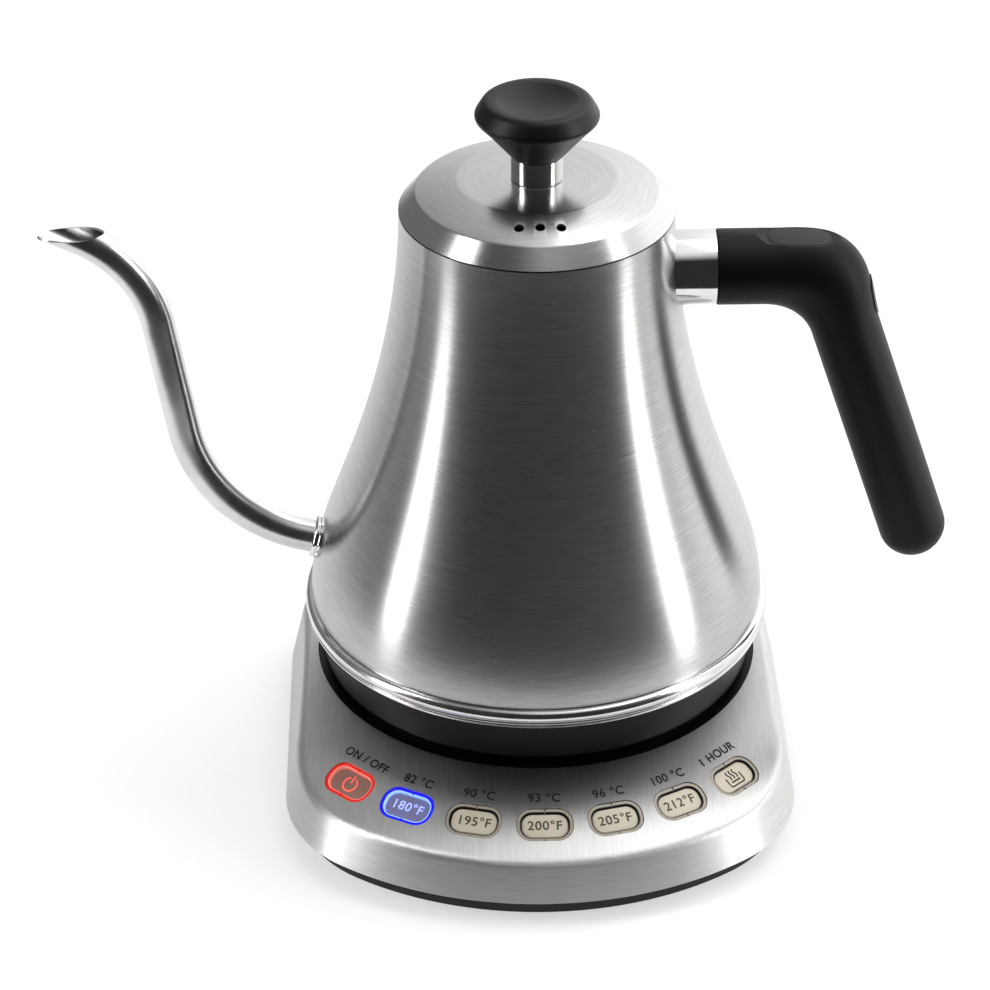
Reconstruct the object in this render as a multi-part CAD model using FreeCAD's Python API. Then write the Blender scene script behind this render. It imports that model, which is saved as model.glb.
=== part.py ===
import FreeCAD
import Part
import math
import os

# Gooseneck electric kettle standing on its powered base with seven buttons.
# Origin on the floor under the kettle's axis. Z is up, the spout points to -X,
# the handle to +X and the buttons to -Y. Millimetres and degrees.

# Clearances shared by all fits
seat_gap = 0.1
running_gap = 0.1
moving_gap = 0.3

# Base cover, a brushed sheet with a sloping panel
base_width = 163.6
base_front_radius = 105.5
base_back = 82.0
front_corner = 48.0
rear_corner = 50.0
cover_edge_height = 8.5
cover_rise = 27.0
cover_wall = 1.0
front_draft = 22.0
side_draft = 13.0
panel_slope = 27.3
crease_round = 6.0
opening_radius = 71.5

# Base pan and foot
pan_inset = 5.0
pan_wall = 2.2
pan_floor = 2.2
pan_lip_rise = 3.0
pan_lip_drop = 1.0
foot_height = 1.5
foot_recess = 0.8
foot_radius = 72.0
foot_width = 6.0

# Seat under the kettle
well_floor = 2.0
well_drop = 2.0
well_rim_drop = 0.5
well_rim_wall = 2.2
well_lip = 1.6
well_lip_thickness = 2.0
seat_ridge_inset = 3.0
seat_ridge_width = 6.0
boss_circle = 58.0
boss_count = 4
boss_angle = 45.0
boss_radius = 4.5

# Screws
screw_radius = 1.5
screw_head_radius = 3.4
screw_head_height = 1.1
screw_bite = 8.0

# Buttons, on an arc round the kettle's axis
button_names = ("power", "180", "195", "200", "205", "212", "hold")
button_circle = 88.8
button_row_margin = 21.0
window_spacing = 4.5
window_width = 11.3
window_corner = 5.0
ring_wall = 1.2
ring_recess = 0.5
ring_depth = 4.0
ring_flange = 1.0
ring_flange_height = 1.0
ring_split = 0.5
panel_bow = 0.4
cap_recess = 1.1
cap_round = 0.5
cap_flange = 0.8
cap_flange_height = 1.0
button_travel = 0.6
stem_radius = 1.6
stem_length = 1.0

# Button board on its carrier
switch_size = 6.0
switch_height = 3.5
switch_tip_radius = 1.7
switch_tip_height = 1.0
lamp_length = 2.0
lamp_width = 1.2
lamp_height = 1.0
lamp_offset = 6.0
board_thickness = 1.2
carrier_thickness = 2.0
board_below = 10.0
board_above = 11.0
board_end_angle = 7.8
carrier_leg_radius = 3.0

# Power board at the back of the base
power_board_length = 68.0
power_board_width = 36.0
power_board_front = 28.0
power_board_stand = 4.2
standoff_radius = 2.5
standoff_margin = 4.0
relay_size = (19.0, 15.5, 15.3)
relay_corner = (-30.0, 36.0)
transformer_size = (20.0, 18.0, 16.0)
transformer_corner = (6.0, 33.0)
terminal_size = (16.0, 8.0, 11.0)
terminal_corner = (8.0, 54.5)
capacitor_radius = 4.0
capacitor_height = 13.0
capacitor_place = (-4.0, 57.5)
buzzer_radius = 6.0
buzzer_height = 8.0
buzzer_offset = 52.0

# Cord gland in the back wall
gland_height = 18.8
gland_bore = 3.5
gland_barrel = 5.5
gland_flange = 7.0
gland_flange_thickness = 1.8
gland_tail = 6.0

# Round connector between base and kettle
boss_top_rise = 10.5
plug_radius = 16.0
plug_body_radius = 19.0
plug_body_drop = 20.0
plug_flange = 24.0
plug_flange_thickness = 2.0
pin_radius = 2.0
pin_length = 13.0
slot_play = 0.5
inner_ring_radius = 7.0
outer_ring_radius = 11.0
contact_wall = 0.8
contact_length = 8.5
contact_height = 1.2
socket_clearance = 1.0
socket_wall = 3.0
socket_headroom = 2.0
socket_roof = 2.0
socket_flange = 24.0
socket_flange_thickness = 2.0

# Kettle skirt and rim
kettle_gap = 1.5
skirt_radius = 69.5
skirt_height = 15.5
skirt_wall = 2.5
skirt_floor = 2.5
skirt_round = 2.0
skirt_tuck = 2.0
skirt_boss_circle = 55.0
skirt_boss_radius = 4.0
skirt_screw_count = 3
rim_radius = 75.0
rim_height = 6.2
rim_lip_height = 1.4
rim_lip_inset = 0.7
rim_groove = 1.4

# Kettle shell, a quartic curve that is upright at the foot and at the neck
shell_wall = 0.8
shell_foot_radius = 72.9
shell_neck_radius = 42.5
shell_height = 136.1
belly_rise = 29.2
waist_radius = 55.7
waist_height = 41.5
neck_rise = 37.3

# Floor, heater and sensors
floor_thickness = 1.0
spreader_radius = 60.0
spreader_thickness = 3.4
element_circle = 43.5
element_radius = 3.5
element_sweep = 320.0
terminal_radius = 2.0
terminal_length = 8.0
sensor_radius = 2.5
sensor_rise = 5.0
sensor_drop = 4.0
seal_wall = 2.4
seal_lip = 1.2
seal_lip_height = 1.0
cutout_radius = 8.0
cutout_height = 6.0
cutout_offset = 31.0
fuse_radius = 2.0
fuse_length = 14.0
fuse_offset = 31.0

# Gooseneck spout, straight runs joined by two arcs
spout_outer = 4.55
spout_wall = 0.7
spout_exit_height = 18.5
spout_exit_angle = 14.7
spout_exit_run = 5.5
spout_lower_bend = 49.2
spout_rise_angle = 80.7
spout_rise_run = 38.6
spout_upper_bend = 41.5
spout_mouth_angle = 26.0
spout_lip_rise = 1.0
spout_mouth_run = 27.0
collar_radius = 6.8
collar_length = 2.2
collar_round = 0.9

# Handle, a tube that leaves the shell level and turns down into the grip
handle_drop = 21.0
tube_radius = 11.85
ferrule_length = 13.0
ferrule_wall = 1.5
grip_lean = 18.7
grip_thickness = 21.5
grip_width = 24.0
grip_length = 99.5
grip_end_round = 8.5
elbow_reach = 82.2
elbow_inner_bend = 17.0
elbow_bulge = 5.5
elbow_lead = 3.0
elbow_steps = 8
oval_points = 12
thumb_start = 67.0
thumb_ramp = 4.0
thumb_depth = 1.5
thumb_slope = 2.5
inlay_length = 20.0
inlay_width = 11.4
inlay_thickness = 1.2
plug_length = 12.5
plug_width = 8.0
plug_depth = 2.0
plug_proud = 0.4
plug_tilt = 62.0
tongue_width = 10.0
tongue_thickness = 4.0
tongue_length = 38.0
handle_screw_radius = 2.0
handle_screw_head = 3.6
handle_screw_head_height = 2.4

# Lid and knob
lid_wall = 0.8
lid_edge_wall = 1.3
lid_bevel_width = 5.0
lid_bevel_height = 6.1
lid_crown_radius = 24.6
lid_crown_rise = 4.2
lid_crease_round = 1.6
vent_count = 3
vent_radius = 1.55
vent_pitch = 6.3
vent_circle = 30.0
lid_plug_depth = 9.0
lid_plug_wall = 1.2
lid_plug_clearance = 1.1
lid_plate_thickness = 1.0
lid_seal_height = 3.0
lid_seal_depth = 1.5
lid_flange_height = 1.0
stem_outer = 8.0
stem_wall = 1.2
stem_height = 8.0
knob_foot_radius = 8.3
knob_crease_radius = 16.0
knob_crease_height = 9.0
knob_radius = 19.5
knob_widest_height = 12.6
knob_top_radius = 16.4
knob_height = 17.8
knob_dish_radius = 12.8
knob_dish_depth = 2.4
knob_round = 1.6
knob_screw_radius = 2.0
knob_screw_head = 3.8
knob_screw_head_height = 2.0
knob_screw_bite = 9.0

# Heights and radii worked out from the sizes above
button_span = math.asin((base_width / 2 - button_row_margin) / button_circle)
button_pitch = 2 * button_span / (len(button_names) - 1)
window_length = button_circle * button_pitch - window_spacing
well_rim_outer = opening_radius - moving_gap
well_rim_inner = well_rim_outer - well_rim_wall
seat_ridge_radius = well_rim_inner - seat_ridge_inset
cover_top = cover_edge_height + cover_rise
pan_bottom = foot_height
pan_floor_top = pan_bottom + pan_floor
pan_ledge = cover_edge_height - pan_lip_drop
pan_lip_top = cover_edge_height + pan_lip_rise
well_top = cover_top - well_drop
well_bottom = well_top - well_floor
skirt_bottom = cover_top + kettle_gap
skirt_floor_top = skirt_bottom + skirt_floor
rim_bottom = skirt_bottom + skirt_height
shell_bottom = rim_bottom + rim_height
shell_top = shell_bottom + shell_height
kettle_floor_bottom = shell_bottom + seat_gap
kettle_floor_top = kettle_floor_bottom + floor_thickness
spreader_bottom = kettle_floor_bottom - spreader_thickness
throat_radius = shell_neck_radius - shell_wall
handle_axis = shell_top - handle_drop
boss_top = cover_top + boss_top_rise
socket_radius = plug_radius + socket_clearance
socket_outer = socket_radius + socket_wall
socket_ceiling = boss_top + socket_headroom
socket_top = socket_ceiling + socket_roof
slant = math.radians(panel_slope)
elbow_turn = math.radians(90.0 - grip_lean)
far = 4 * base_front_radius

X = FreeCAD.Vector(1, 0, 0)
Y = FreeCAD.Vector(0, 1, 0)
Z = FreeCAD.Vector(0, 0, 1)
ORIGIN = FreeCAD.Vector(0, 0, 0)
grip_way = math.cos(elbow_turn) * X - math.sin(elbow_turn) * Z


# Drawing helpers

def at(x, z, y=0.0):
    return FreeCAD.Vector(x, y, z)


def outline(steps):
    """Closed face in the XZ plane. A step is a point, or a pair: a point on an arc and the arc's end."""
    first = at(*steps[0])
    here = first
    edges = []
    for step in steps[1:]:
        if isinstance(step[0], tuple):
            end = at(*step[1])
            edges.append(Part.Arc(here, at(*step[0]), end).toShape())
        else:
            end = at(*step)
            edges.append(Part.LineSegment(here, end).toShape())
        here = end
    edges.append(Part.LineSegment(here, first).toShape())
    return Part.Face(Part.Wire(edges))


def turned(steps, sweep=360.0):
    return outline(steps).revolve(ORIGIN, Z, sweep)


def cylinder(radius, low, high, x=0.0, y=0.0):
    return Part.makeCylinder(radius, high - low, FreeCAD.Vector(x, y, low))


def tube(outer, inner, low, high):
    return cylinder(outer, low, high).cut(cylinder(inner, low, high))


def block(x0, x1, y0, y1, z0, z1):
    return Part.makeBox(x1 - x0, y1 - y0, z1 - z0, FreeCAD.Vector(x0, y0, z0))


def rounded_bar(length, width, corner, low, high):
    """Upright bar centred on the Z axis, with rounded corners in plan."""
    bar = block(-length / 2, length / 2, -width / 2, width / 2, low, high)
    upright = [e for e in bar.Edges if abs(e.tangentAt(e.FirstParameter).z) > 0.5]
    return bar.makeFillet(corner, upright)


def fused(first, *others):
    return first.multiFuse(list(others)).removeSplitter()


def placed(shape, x_axis, y_axis, z_axis, origin):
    columns = (x_axis, y_axis, z_axis, origin)
    rows = [[getattr(c, letter) for c in columns] for letter in "xyz"]
    moved = shape.copy()
    moved.transformShape(FreeCAD.Matrix(*rows[0], *rows[1], *rows[2], 0, 0, 0, 1), True)
    return moved


def ring_of(count, radius, first_angle=0.0):
    """Evenly spaced places round the axis, as x, y pairs."""
    angles = [math.radians(first_angle + 360.0 * i / count) for i in range(count)]
    return [(radius * math.cos(a), radius * math.sin(a)) for a in angles]


# Base

def panel_height(radius):
    return cover_top - (radius - opening_radius) * math.tan(slant)


def base_plan(inset, low, high):
    """Upright prism of the base's plan outline, drawn in by an inset."""
    half = base_width / 2 - inset
    front = cylinder(base_front_radius - inset, low, high)
    plan = block(-half, half, -far, base_back - inset, low, high).common(with_back(front, low, high))
    return round_corners(plan, inset, low, high)


def with_back(front, low, high):
    """A round front joined to open space behind the kettle's axis."""
    return front.fuse(block(-far, far, 0, far, low, high))


def round_corners(solid, inset, low, high):
    """Rounds the four upright corners of the base's plan, the back pair first."""
    for behind, corner in ((True, rear_corner), (False, front_corner)):
        rising = []
        for edge in solid.Edges:
            box = edge.BoundBox
            full_height = box.ZMin < low + seat_gap and box.ZMax > high - seat_gap
            if full_height and (edge.CenterOfMass.y > 0) == behind:
                rising.append(edge)
        solid = solid.makeFillet(corner - inset, rising)
    return solid


def base_form(inset, low):
    """The cover's outer shape drawn in by an inset, from a low level up to its roof cone."""
    high = cover_top + cover_rise / 4
    run = math.tan(math.radians(front_draft))
    side = math.tan(math.radians(side_draft))
    reach = base_front_radius - inset / math.cos(math.radians(front_draft))
    half = base_width / 2 - inset / math.cos(math.radians(side_draft))
    drop = low - cover_edge_height
    climb = high - cover_edge_height
    walls = Part.makeCone(reach - run * drop, reach - run * climb, high - low, at(0, low))
    sides = outline([
        (-half + side * drop, low),
        (half - side * drop, low),
        (half - side * climb, high),
        (-half + side * climb, high),
    ])
    sides.translate(-far * Y)
    sides = sides.extrude((far + base_back - inset) * Y)
    walls = sides.common(with_back(walls, low, high))
    walls = round_corners(walls, inset, low, high)
    sunk = inset / math.cos(slant)
    flat = opening_radius - 2 * crease_round
    cone_low = base_front_radius + cover_rise
    roof = turned([
        (0, low - cover_rise),
        (cone_low, low - cover_rise),
        (cone_low, panel_height(cone_low) - sunk),
        (flat, panel_height(flat) - sunk),
        (0, panel_height(flat) - sunk),
    ])
    form = walls.common(roof)
    crease = []
    for edge in form.Edges:
        box = edge.BoundBox
        if box.ZMin > low + cover_edge_height / 4 and box.ZMax < panel_height(flat) - sunk - seat_gap:
            crease.append(edge)
    return form.makeFillet(crease_round - inset, crease)


def button_angles():
    return [button_pitch * i - button_span for i in range(len(button_names))]


def on_panel(shape, angle):
    """Moves a shape drawn about the origin to a button's place, with its Z axis along the panel's normal."""
    outward = math.sin(angle) * X - math.cos(angle) * Y
    tangent = math.cos(angle) * X + math.sin(angle) * Y
    normal = math.sin(slant) * outward + math.cos(slant) * Z
    upslope = math.sin(slant) * Z - math.cos(slant) * outward
    origin = button_circle * outward + panel_height(button_circle) * Z
    return placed(shape, tangent, upslope, normal, origin)


def at_each_button(shape):
    return [on_panel(shape, angle) for angle in button_angles()]


def window_bar(margin, low, high):
    """Bar of the window's plan, grown by a margin on each side."""
    size = 2 * margin
    return rounded_bar(window_length + size, window_width + size, window_corner + margin, low, high)


def base_top_cover():
    cover = base_form(0.0, cover_edge_height)
    cover = cover.cut(base_form(cover_wall, cover_edge_height - cover_rise / 4))
    cover = cover.cut(cylinder(opening_radius, cover_edge_height, cover_top + cover_rise))
    cover = cover.cut(at_each_button(window_bar(0.0, -3 * cover_wall, 3 * cover_wall)))
    gland_hole = gland_barrel_at(gland_barrel + seat_gap, base_back - 3 * cover_wall, base_back + cover_wall)
    return cover.cut(gland_hole)


def base_pan():
    pan = base_plan(pan_inset, pan_bottom, pan_ledge)
    lip_band = block(-far, far, -far, far, pan_ledge, pan_lip_top)
    lip = base_form(cover_wall + moving_gap, pan_ledge).common(lip_band)
    pan = pan.fuse(lip)
    pan = pan.cut(base_plan(pan_inset + pan_wall, pan_floor_top, pan_lip_top + pan_floor))
    foot = tube(foot_radius + seat_gap, foot_radius - foot_width - seat_gap, 0.0, pan_bottom + foot_recess)
    pan = pan.cut(foot)
    for x, y in base_screw_places():
        pan = pan.cut(cylinder(screw_radius + seat_gap, 0.0, pan_floor_top, x, y))
        pan = pan.cut(cylinder(screw_head_radius + moving_gap, 0.0, pan_bottom + screw_head_height, x, y))
    stand_top = power_board_bottom() - seat_gap
    stands = [cylinder(standoff_radius, pan_floor_top, stand_top, *place) for place in standoff_places()]
    return fused(pan, *stands)


def base_screw_places():
    return ring_of(boss_count, boss_circle, boss_angle)


def foot_ring():
    return tube(foot_radius, foot_radius - foot_width, 0.0, pan_bottom + foot_recess - seat_gap)


def base_screws():
    screws = []
    head_low = pan_bottom + seat_gap
    for x, y in base_screw_places():
        head = cylinder(screw_head_radius, head_low - seat_gap, head_low + screw_head_height - seat_gap, x, y)
        shank = cylinder(screw_radius, head_low, pan_floor_top + screw_bite, x, y)
        screws.append(fused(head, shank))
    return Part.makeCompound(screws)


def base_well():
    lip_outer = opening_radius + well_lip
    sheet = cover_wall / math.cos(slant) + seat_gap
    well = turned([
        (plug_radius + seat_gap, well_bottom),
        (lip_outer - well_lip_thickness, well_bottom),
        (lip_outer, panel_height(lip_outer) - sheet - well_lip_thickness),
        (lip_outer, panel_height(lip_outer) - sheet),
        (well_rim_outer, panel_height(well_rim_outer) - sheet),
        (well_rim_outer, cover_top - well_rim_drop),
        (well_rim_inner, cover_top - well_rim_drop),
        (well_rim_inner, well_top),
        (seat_ridge_radius, well_top),
        (seat_ridge_radius, skirt_bottom - moving_gap),
        (seat_ridge_radius - seat_ridge_width, skirt_bottom - moving_gap),
        (seat_ridge_radius - seat_ridge_width, well_top),
        (plug_radius + seat_gap, well_top),
    ])
    post_low = pan_floor_top + seat_gap
    posts = [cylinder(boss_radius, post_low, well_bottom, *place) for place in base_screw_places()]
    well = fused(well, *posts)
    hole_top = pan_floor_top + screw_bite + seat_gap
    for x, y in base_screw_places():
        well = well.cut(cylinder(screw_radius + seat_gap, pan_floor_top, hole_top, x, y))
    return well


def ring_slots(low, high):
    """The two ring slots of the connector, with play round the kettle's contact rings."""
    grooves = []
    for radius in (inner_ring_radius, outer_ring_radius):
        grooves.append(tube(radius + contact_wall + slot_play, radius - slot_play, low, high))
    return grooves


def contact_levels():
    """Bottom of the ring slots and of the pin bore."""
    ring_floor = socket_ceiling - contact_length - moving_gap - contact_height
    pin_floor = socket_ceiling - pin_length - moving_gap - contact_height
    return ring_floor, pin_floor


def base_connector():
    flange_top = well_bottom - seat_gap
    body = cylinder(plug_radius, flange_top - plug_flange_thickness, boss_top)
    flange = cylinder(plug_flange, flange_top - plug_flange_thickness, flange_top)
    lower = cylinder(plug_body_radius, flange_top - plug_body_drop, flange_top - plug_flange_thickness)
    connector = fused(body, flange, lower)
    ring_floor, pin_floor = contact_levels()
    bore = cylinder(pin_radius + slot_play, pin_floor, boss_top)
    return connector.cut([bore, *ring_slots(ring_floor, boss_top)])


def connector_contacts():
    ring_floor, pin_floor = contact_levels()
    rings = []
    for radius in (inner_ring_radius, outer_ring_radius):
        rings.append(tube(radius + contact_wall, radius, ring_floor, ring_floor + contact_height))
    tip = cylinder(pin_radius, pin_floor, pin_floor + contact_height)
    return Part.makeCompound([tip, *rings])


# Buttons and their board

def ring_bottom():
    return -ring_depth


def cap_levels():
    """Heights of the cap's flange, stem tip and the switch under it, along the panel's normal."""
    flange_top = ring_bottom() - seat_gap
    flange_bottom = flange_top - cap_flange_height
    stem_tip = flange_bottom - stem_length
    switch_tip = stem_tip - button_travel - seat_gap
    switch_top = switch_tip - switch_tip_height
    board_top = switch_top - switch_height - seat_gap
    return flange_top, flange_bottom, stem_tip, switch_tip, switch_top, board_top


def light_ring():
    """Clear frame round one cap, held by a flange under the sheet, with a split mark above and below."""
    flange_top = -cover_wall - panel_bow
    ring = window_bar(-seat_gap, ring_bottom(), -ring_recess)
    ring = fused(ring, window_bar(ring_flange, flange_top - ring_flange_height, flange_top))
    ring = ring.cut(window_bar(-seat_gap - ring_wall, ring_bottom(), 0.0))
    half = ring_split / 2
    notch = block(-half, half, -window_width, window_width, -ring_recess - ring_split, 0.0)
    return ring.cut(notch)


def light_rings(numbers):
    rings = at_each_button(light_ring())
    return Part.makeCompound([rings[i] for i in numbers])


def cap_margin():
    return -seat_gap - ring_wall - moving_gap


def button_cap():
    flange_top, flange_bottom, stem_tip = cap_levels()[:3]
    cap = window_bar(cap_margin(), flange_top, -cap_recess)
    top_edges = [e for e in cap.Edges if e.BoundBox.ZMin > -cap_recess - seat_gap]
    cap = cap.makeFillet(cap_round, top_edges)
    flange = window_bar(cap_margin() + cap_flange, flange_bottom, flange_top)
    return fused(cap, flange, cylinder(stem_radius, stem_tip, flange_bottom))


def tact_switches():
    switch_tip, switch_top, board_top = cap_levels()[3:]
    half = switch_size / 2
    body = block(-half, half, -half, half, board_top + seat_gap, switch_top)
    switch = fused(body, cylinder(switch_tip_radius, switch_top, switch_tip))
    return Part.makeCompound(at_each_button(switch))


def indicator_lamps():
    board_top = cap_levels()[5]
    low = board_top + seat_gap
    half = lamp_width / 2
    lamp = block(lamp_offset, lamp_offset + lamp_length, -half, half, low, low + lamp_height)
    return Part.makeCompound(at_each_button(lamp))


def under_panel(along, normal):
    """Point in the radius and height plane, up the slope and along the normal from a button's place."""
    radius = button_circle - along * math.cos(slant) + normal * math.sin(slant)
    height = panel_height(button_circle) + along * math.sin(slant) + normal * math.cos(slant)
    return radius, height


def conical_strip(top, bottom):
    """Band under the panel, bent round the kettle's axis like the row of buttons."""
    half_angle = math.degrees(button_span) + board_end_angle
    strip = turned([
        under_panel(-board_below, bottom),
        under_panel(board_above, bottom),
        under_panel(board_above, top),
        under_panel(-board_below, top),
    ], 2 * half_angle)
    strip.rotate(ORIGIN, Z, -90.0 - half_angle)
    return strip


def control_board():
    board_top = cap_levels()[5]
    return conical_strip(board_top, board_top - board_thickness)


def switch_carrier():
    top = cap_levels()[5] - board_thickness - seat_gap
    bottom = top - carrier_thickness
    strip = conical_strip(top, bottom)
    radius, height = under_panel(0.0, bottom)
    foot = pan_floor_top + seat_gap
    beneath = turned([
        (under_panel(board_above, bottom)[0], foot),
        under_panel(board_above, bottom),
        under_panel(-board_below, bottom),
        (under_panel(-board_below, bottom)[0], foot),
    ])
    legs = []
    for angle in button_angles()[::2]:
        place = (radius * math.sin(angle), -radius * math.cos(angle))
        legs.append(cylinder(carrier_leg_radius, foot, height + carrier_leg_radius, *place).common(beneath))
    return fused(strip, *legs)


# Power board and cord gland

def power_board_bottom():
    return pan_floor_top + power_board_stand


def power_board_top():
    return power_board_bottom() + board_thickness


def standoff_places():
    x = power_board_length / 2 - standoff_margin
    front = power_board_front + standoff_margin
    back = power_board_front + power_board_width - standoff_margin
    return [(-x, front), (x, front), (-x, back), (x, back)]


def power_board():
    half = power_board_length / 2
    back = power_board_front + power_board_width
    return block(-half, half, power_board_front, back, power_board_bottom(), power_board_top())


def on_power_board(corner, size):
    low = power_board_top() + seat_gap
    x, y = corner
    return block(x, x + size[0], y, y + size[1], low, low + size[2])


def capacitor():
    low = power_board_top() + seat_gap
    return cylinder(capacitor_radius, low, low + capacitor_height, *capacitor_place)


def buzzer():
    low = pan_floor_top + seat_gap
    return cylinder(buzzer_radius, low, low + buzzer_height, -buzzer_offset, 0.0)


def gland_barrel_at(radius, front, back):
    return Part.makeCylinder(radius, back - front, FreeCAD.Vector(0, front, gland_height), Y)


def cord_gland():
    outside = base_back + seat_gap
    inside = base_back - cover_wall - seat_gap
    tail = inside - gland_flange_thickness - gland_tail
    gland = fused(
        gland_barrel_at(gland_barrel, tail, outside + gland_flange_thickness),
        gland_barrel_at(gland_flange, outside, outside + gland_flange_thickness),
        gland_barrel_at(gland_flange, inside - gland_flange_thickness, inside),
    )
    return gland.cut(gland_barrel_at(gland_bore, tail - seat_gap, outside + 2 * gland_flange_thickness))


# Kettle's half of the connector

def kettle_connector():
    flange_low = skirt_floor_top + moving_gap
    cup = cylinder(socket_outer, skirt_bottom, socket_top)
    flange = cylinder(socket_flange, flange_low, flange_low + socket_flange_thickness)
    return fused(cup, flange).cut(cylinder(socket_radius, skirt_bottom, socket_ceiling))


def kettle_pin():
    return cylinder(pin_radius, socket_ceiling - pin_length, socket_ceiling)


def kettle_contact_rings():
    low = socket_ceiling - contact_length
    rings = []
    for radius in (inner_ring_radius, outer_ring_radius):
        rings.append(tube(radius + contact_wall, radius, low, socket_ceiling))
    return Part.makeCompound(rings)


# Kettle body

def body_poles(inset):
    """Poles of the shell's quartic curve, from the foot to the neck, drawn in by an inset."""
    poles = (
        (shell_foot_radius, shell_bottom),
        (shell_foot_radius, shell_bottom + belly_rise),
        (waist_radius, shell_bottom + waist_height),
        (shell_neck_radius, shell_top - neck_rise),
        (shell_neck_radius, shell_top),
    )
    return [at(r - inset, z) for r, z in poles]


def body_edge(inset):
    curve = Part.BezierCurve()
    curve.setPoles(body_poles(inset))
    return curve.toShape()


def body_block(inset):
    """Solid inside the shell's curve drawn in by an inset."""
    poles = body_poles(inset)
    bottom, top = poles[0], poles[-1]
    edges = [
        body_edge(inset),
        Part.LineSegment(top, at(0, top.z)).toShape(),
        Part.LineSegment(at(0, top.z), at(0, bottom.z)).toShape(),
        Part.LineSegment(at(0, bottom.z), bottom).toShape(),
    ]
    return Part.Face(Part.Wire(edges)).revolve(ORIGIN, Z, 360)


def body_radius(height):
    """Outer radius of the shell at a height."""
    level = Part.LineSegment(at(0, height), at(2 * shell_foot_radius, height)).toShape()
    return body_edge(0.0).distToShape(level)[1][0][0].x


def kettle_shell():
    shell = body_block(0.0).cut(body_block(shell_wall))
    return shell.cut(spout_pipe(spout_outer - spout_wall))


def rim_ring():
    """Rolled bead that joins the shell, the floor and the skirt, with a fine groove above its lower lip."""
    inner = skirt_radius + seat_gap
    groove_height = rim_bottom + rim_lip_height
    lip = rim_radius - rim_lip_inset
    widest = groove_height + (shell_bottom - groove_height) / 3
    return turned([
        (inner, rim_bottom),
        (lip - rim_groove / 2, rim_bottom),
        ((lip, rim_bottom + rim_lip_height / 2), (rim_radius - rim_groove, groove_height)),
        ((rim_radius, widest), (shell_foot_radius, shell_bottom)),
        (inner, shell_bottom),
    ])


def kettle_floor():
    floor = cylinder(shell_foot_radius - shell_wall - seat_gap, kettle_floor_bottom, kettle_floor_top)
    return floor.cut(cylinder(sensor_radius + seal_wall, kettle_floor_bottom, kettle_floor_top))


def skirt_screw_places():
    return ring_of(skirt_screw_count, skirt_boss_circle, 90.0)


def heat_spreader():
    levels = (spreader_bottom, kettle_floor_bottom)
    spreader = cylinder(spreader_radius, *levels)
    spreader = spreader.cut(cylinder(sensor_radius + seal_wall + seal_lip, *levels))
    for x, y in skirt_screw_places():
        spreader = spreader.cut(cylinder(screw_radius + seat_gap, *levels, x, y))
    return spreader


def element_height():
    return spreader_bottom - seat_gap - element_radius


def heating_element():
    return Part.makeTorus(element_circle, element_radius, at(0, element_height()), Z, 0, 360, element_sweep)


def element_terminals():
    """Cold pins that leave the two ends of the ring along its tangents."""
    pins = []
    for angle, sense in ((0.0, -1.0), (math.radians(element_sweep), 1.0)):
        foot = at(element_circle * math.cos(angle), element_height(), element_circle * math.sin(angle))
        along = FreeCAD.Vector(-sense * math.sin(angle), sense * math.cos(angle), 0)
        pins.append(Part.makeCylinder(terminal_radius, terminal_length, foot, along))
    return Part.makeCompound(pins)


def temperature_sensor():
    return cylinder(sensor_radius, spreader_bottom - sensor_drop, kettle_floor_top + sensor_rise)


def sensor_seal():
    """Grommet in the floor's hole, with a lip under the floor."""
    wall = sensor_radius + seal_wall
    reach = seal_lip_height
    grommet = cylinder(wall - seat_gap, kettle_floor_bottom - reach, kettle_floor_top + reach)
    lip_top = kettle_floor_bottom - seat_gap
    lip = cylinder(wall + seal_lip - seat_gap, lip_top - seal_lip_height, lip_top)
    above = kettle_floor_top + seat_gap
    cap = cylinder(wall + seal_lip, above, above + seal_lip_height)
    grommet = fused(grommet, lip, cap)
    return grommet.cut(cylinder(sensor_radius + seat_gap, spreader_bottom, above + 2 * seal_lip_height))


def thermal_cutout():
    high = spreader_bottom - seat_gap
    return cylinder(cutout_radius, high - cutout_height, high, cutout_offset, 0.0)


def thermal_fuse():
    start = FreeCAD.Vector(-fuse_offset, -fuse_length / 2, spreader_bottom - seat_gap - fuse_radius)
    return Part.makeCylinder(fuse_radius, fuse_length, start, Y)


def skirt():
    top = rim_bottom + skirt_tuck
    wall_inner = skirt_radius - skirt_wall
    cup = turned([
        (socket_outer + running_gap, skirt_bottom),
        (skirt_radius, skirt_bottom),
        (skirt_radius, top),
        (wall_inner, top),
        (wall_inner, skirt_floor_top),
        (socket_outer + running_gap, skirt_floor_top),
    ])
    lowest = [e for e in cup.Edges if e.BoundBox.ZMax < skirt_bottom + seat_gap]
    foot = [e for e in lowest if e.BoundBox.XMax > wall_inner]
    cup = cup.makeFillet(skirt_round, foot)
    posts = [
        cylinder(skirt_boss_radius, skirt_floor_top, spreader_bottom - seat_gap, *place)
        for place in skirt_screw_places()
    ]
    cup = fused(cup, *posts)
    head_room = skirt_bottom + screw_head_height + seat_gap
    for x, y in skirt_screw_places():
        cup = cup.cut(cylinder(screw_radius + seat_gap, skirt_bottom, spreader_bottom, x, y))
        cup = cup.cut(cylinder(screw_head_radius + seat_gap, skirt_bottom, head_room, x, y))
    return cup


def skirt_screws():
    head_low = skirt_bottom
    head_high = head_low + screw_head_height
    screws = []
    for x, y in skirt_screw_places():
        head = cylinder(screw_head_radius, head_low, head_high, x, y)
        shank = cylinder(screw_radius, head_high, kettle_floor_bottom - seat_gap, x, y)
        screws.append(fused(head, shank))
    return Part.makeCompound(screws)


# Spout

def spout_heading(angle):
    return at(-math.cos(angle), math.sin(angle))


def spout_side(angle):
    return at(math.sin(angle), math.cos(angle))


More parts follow.
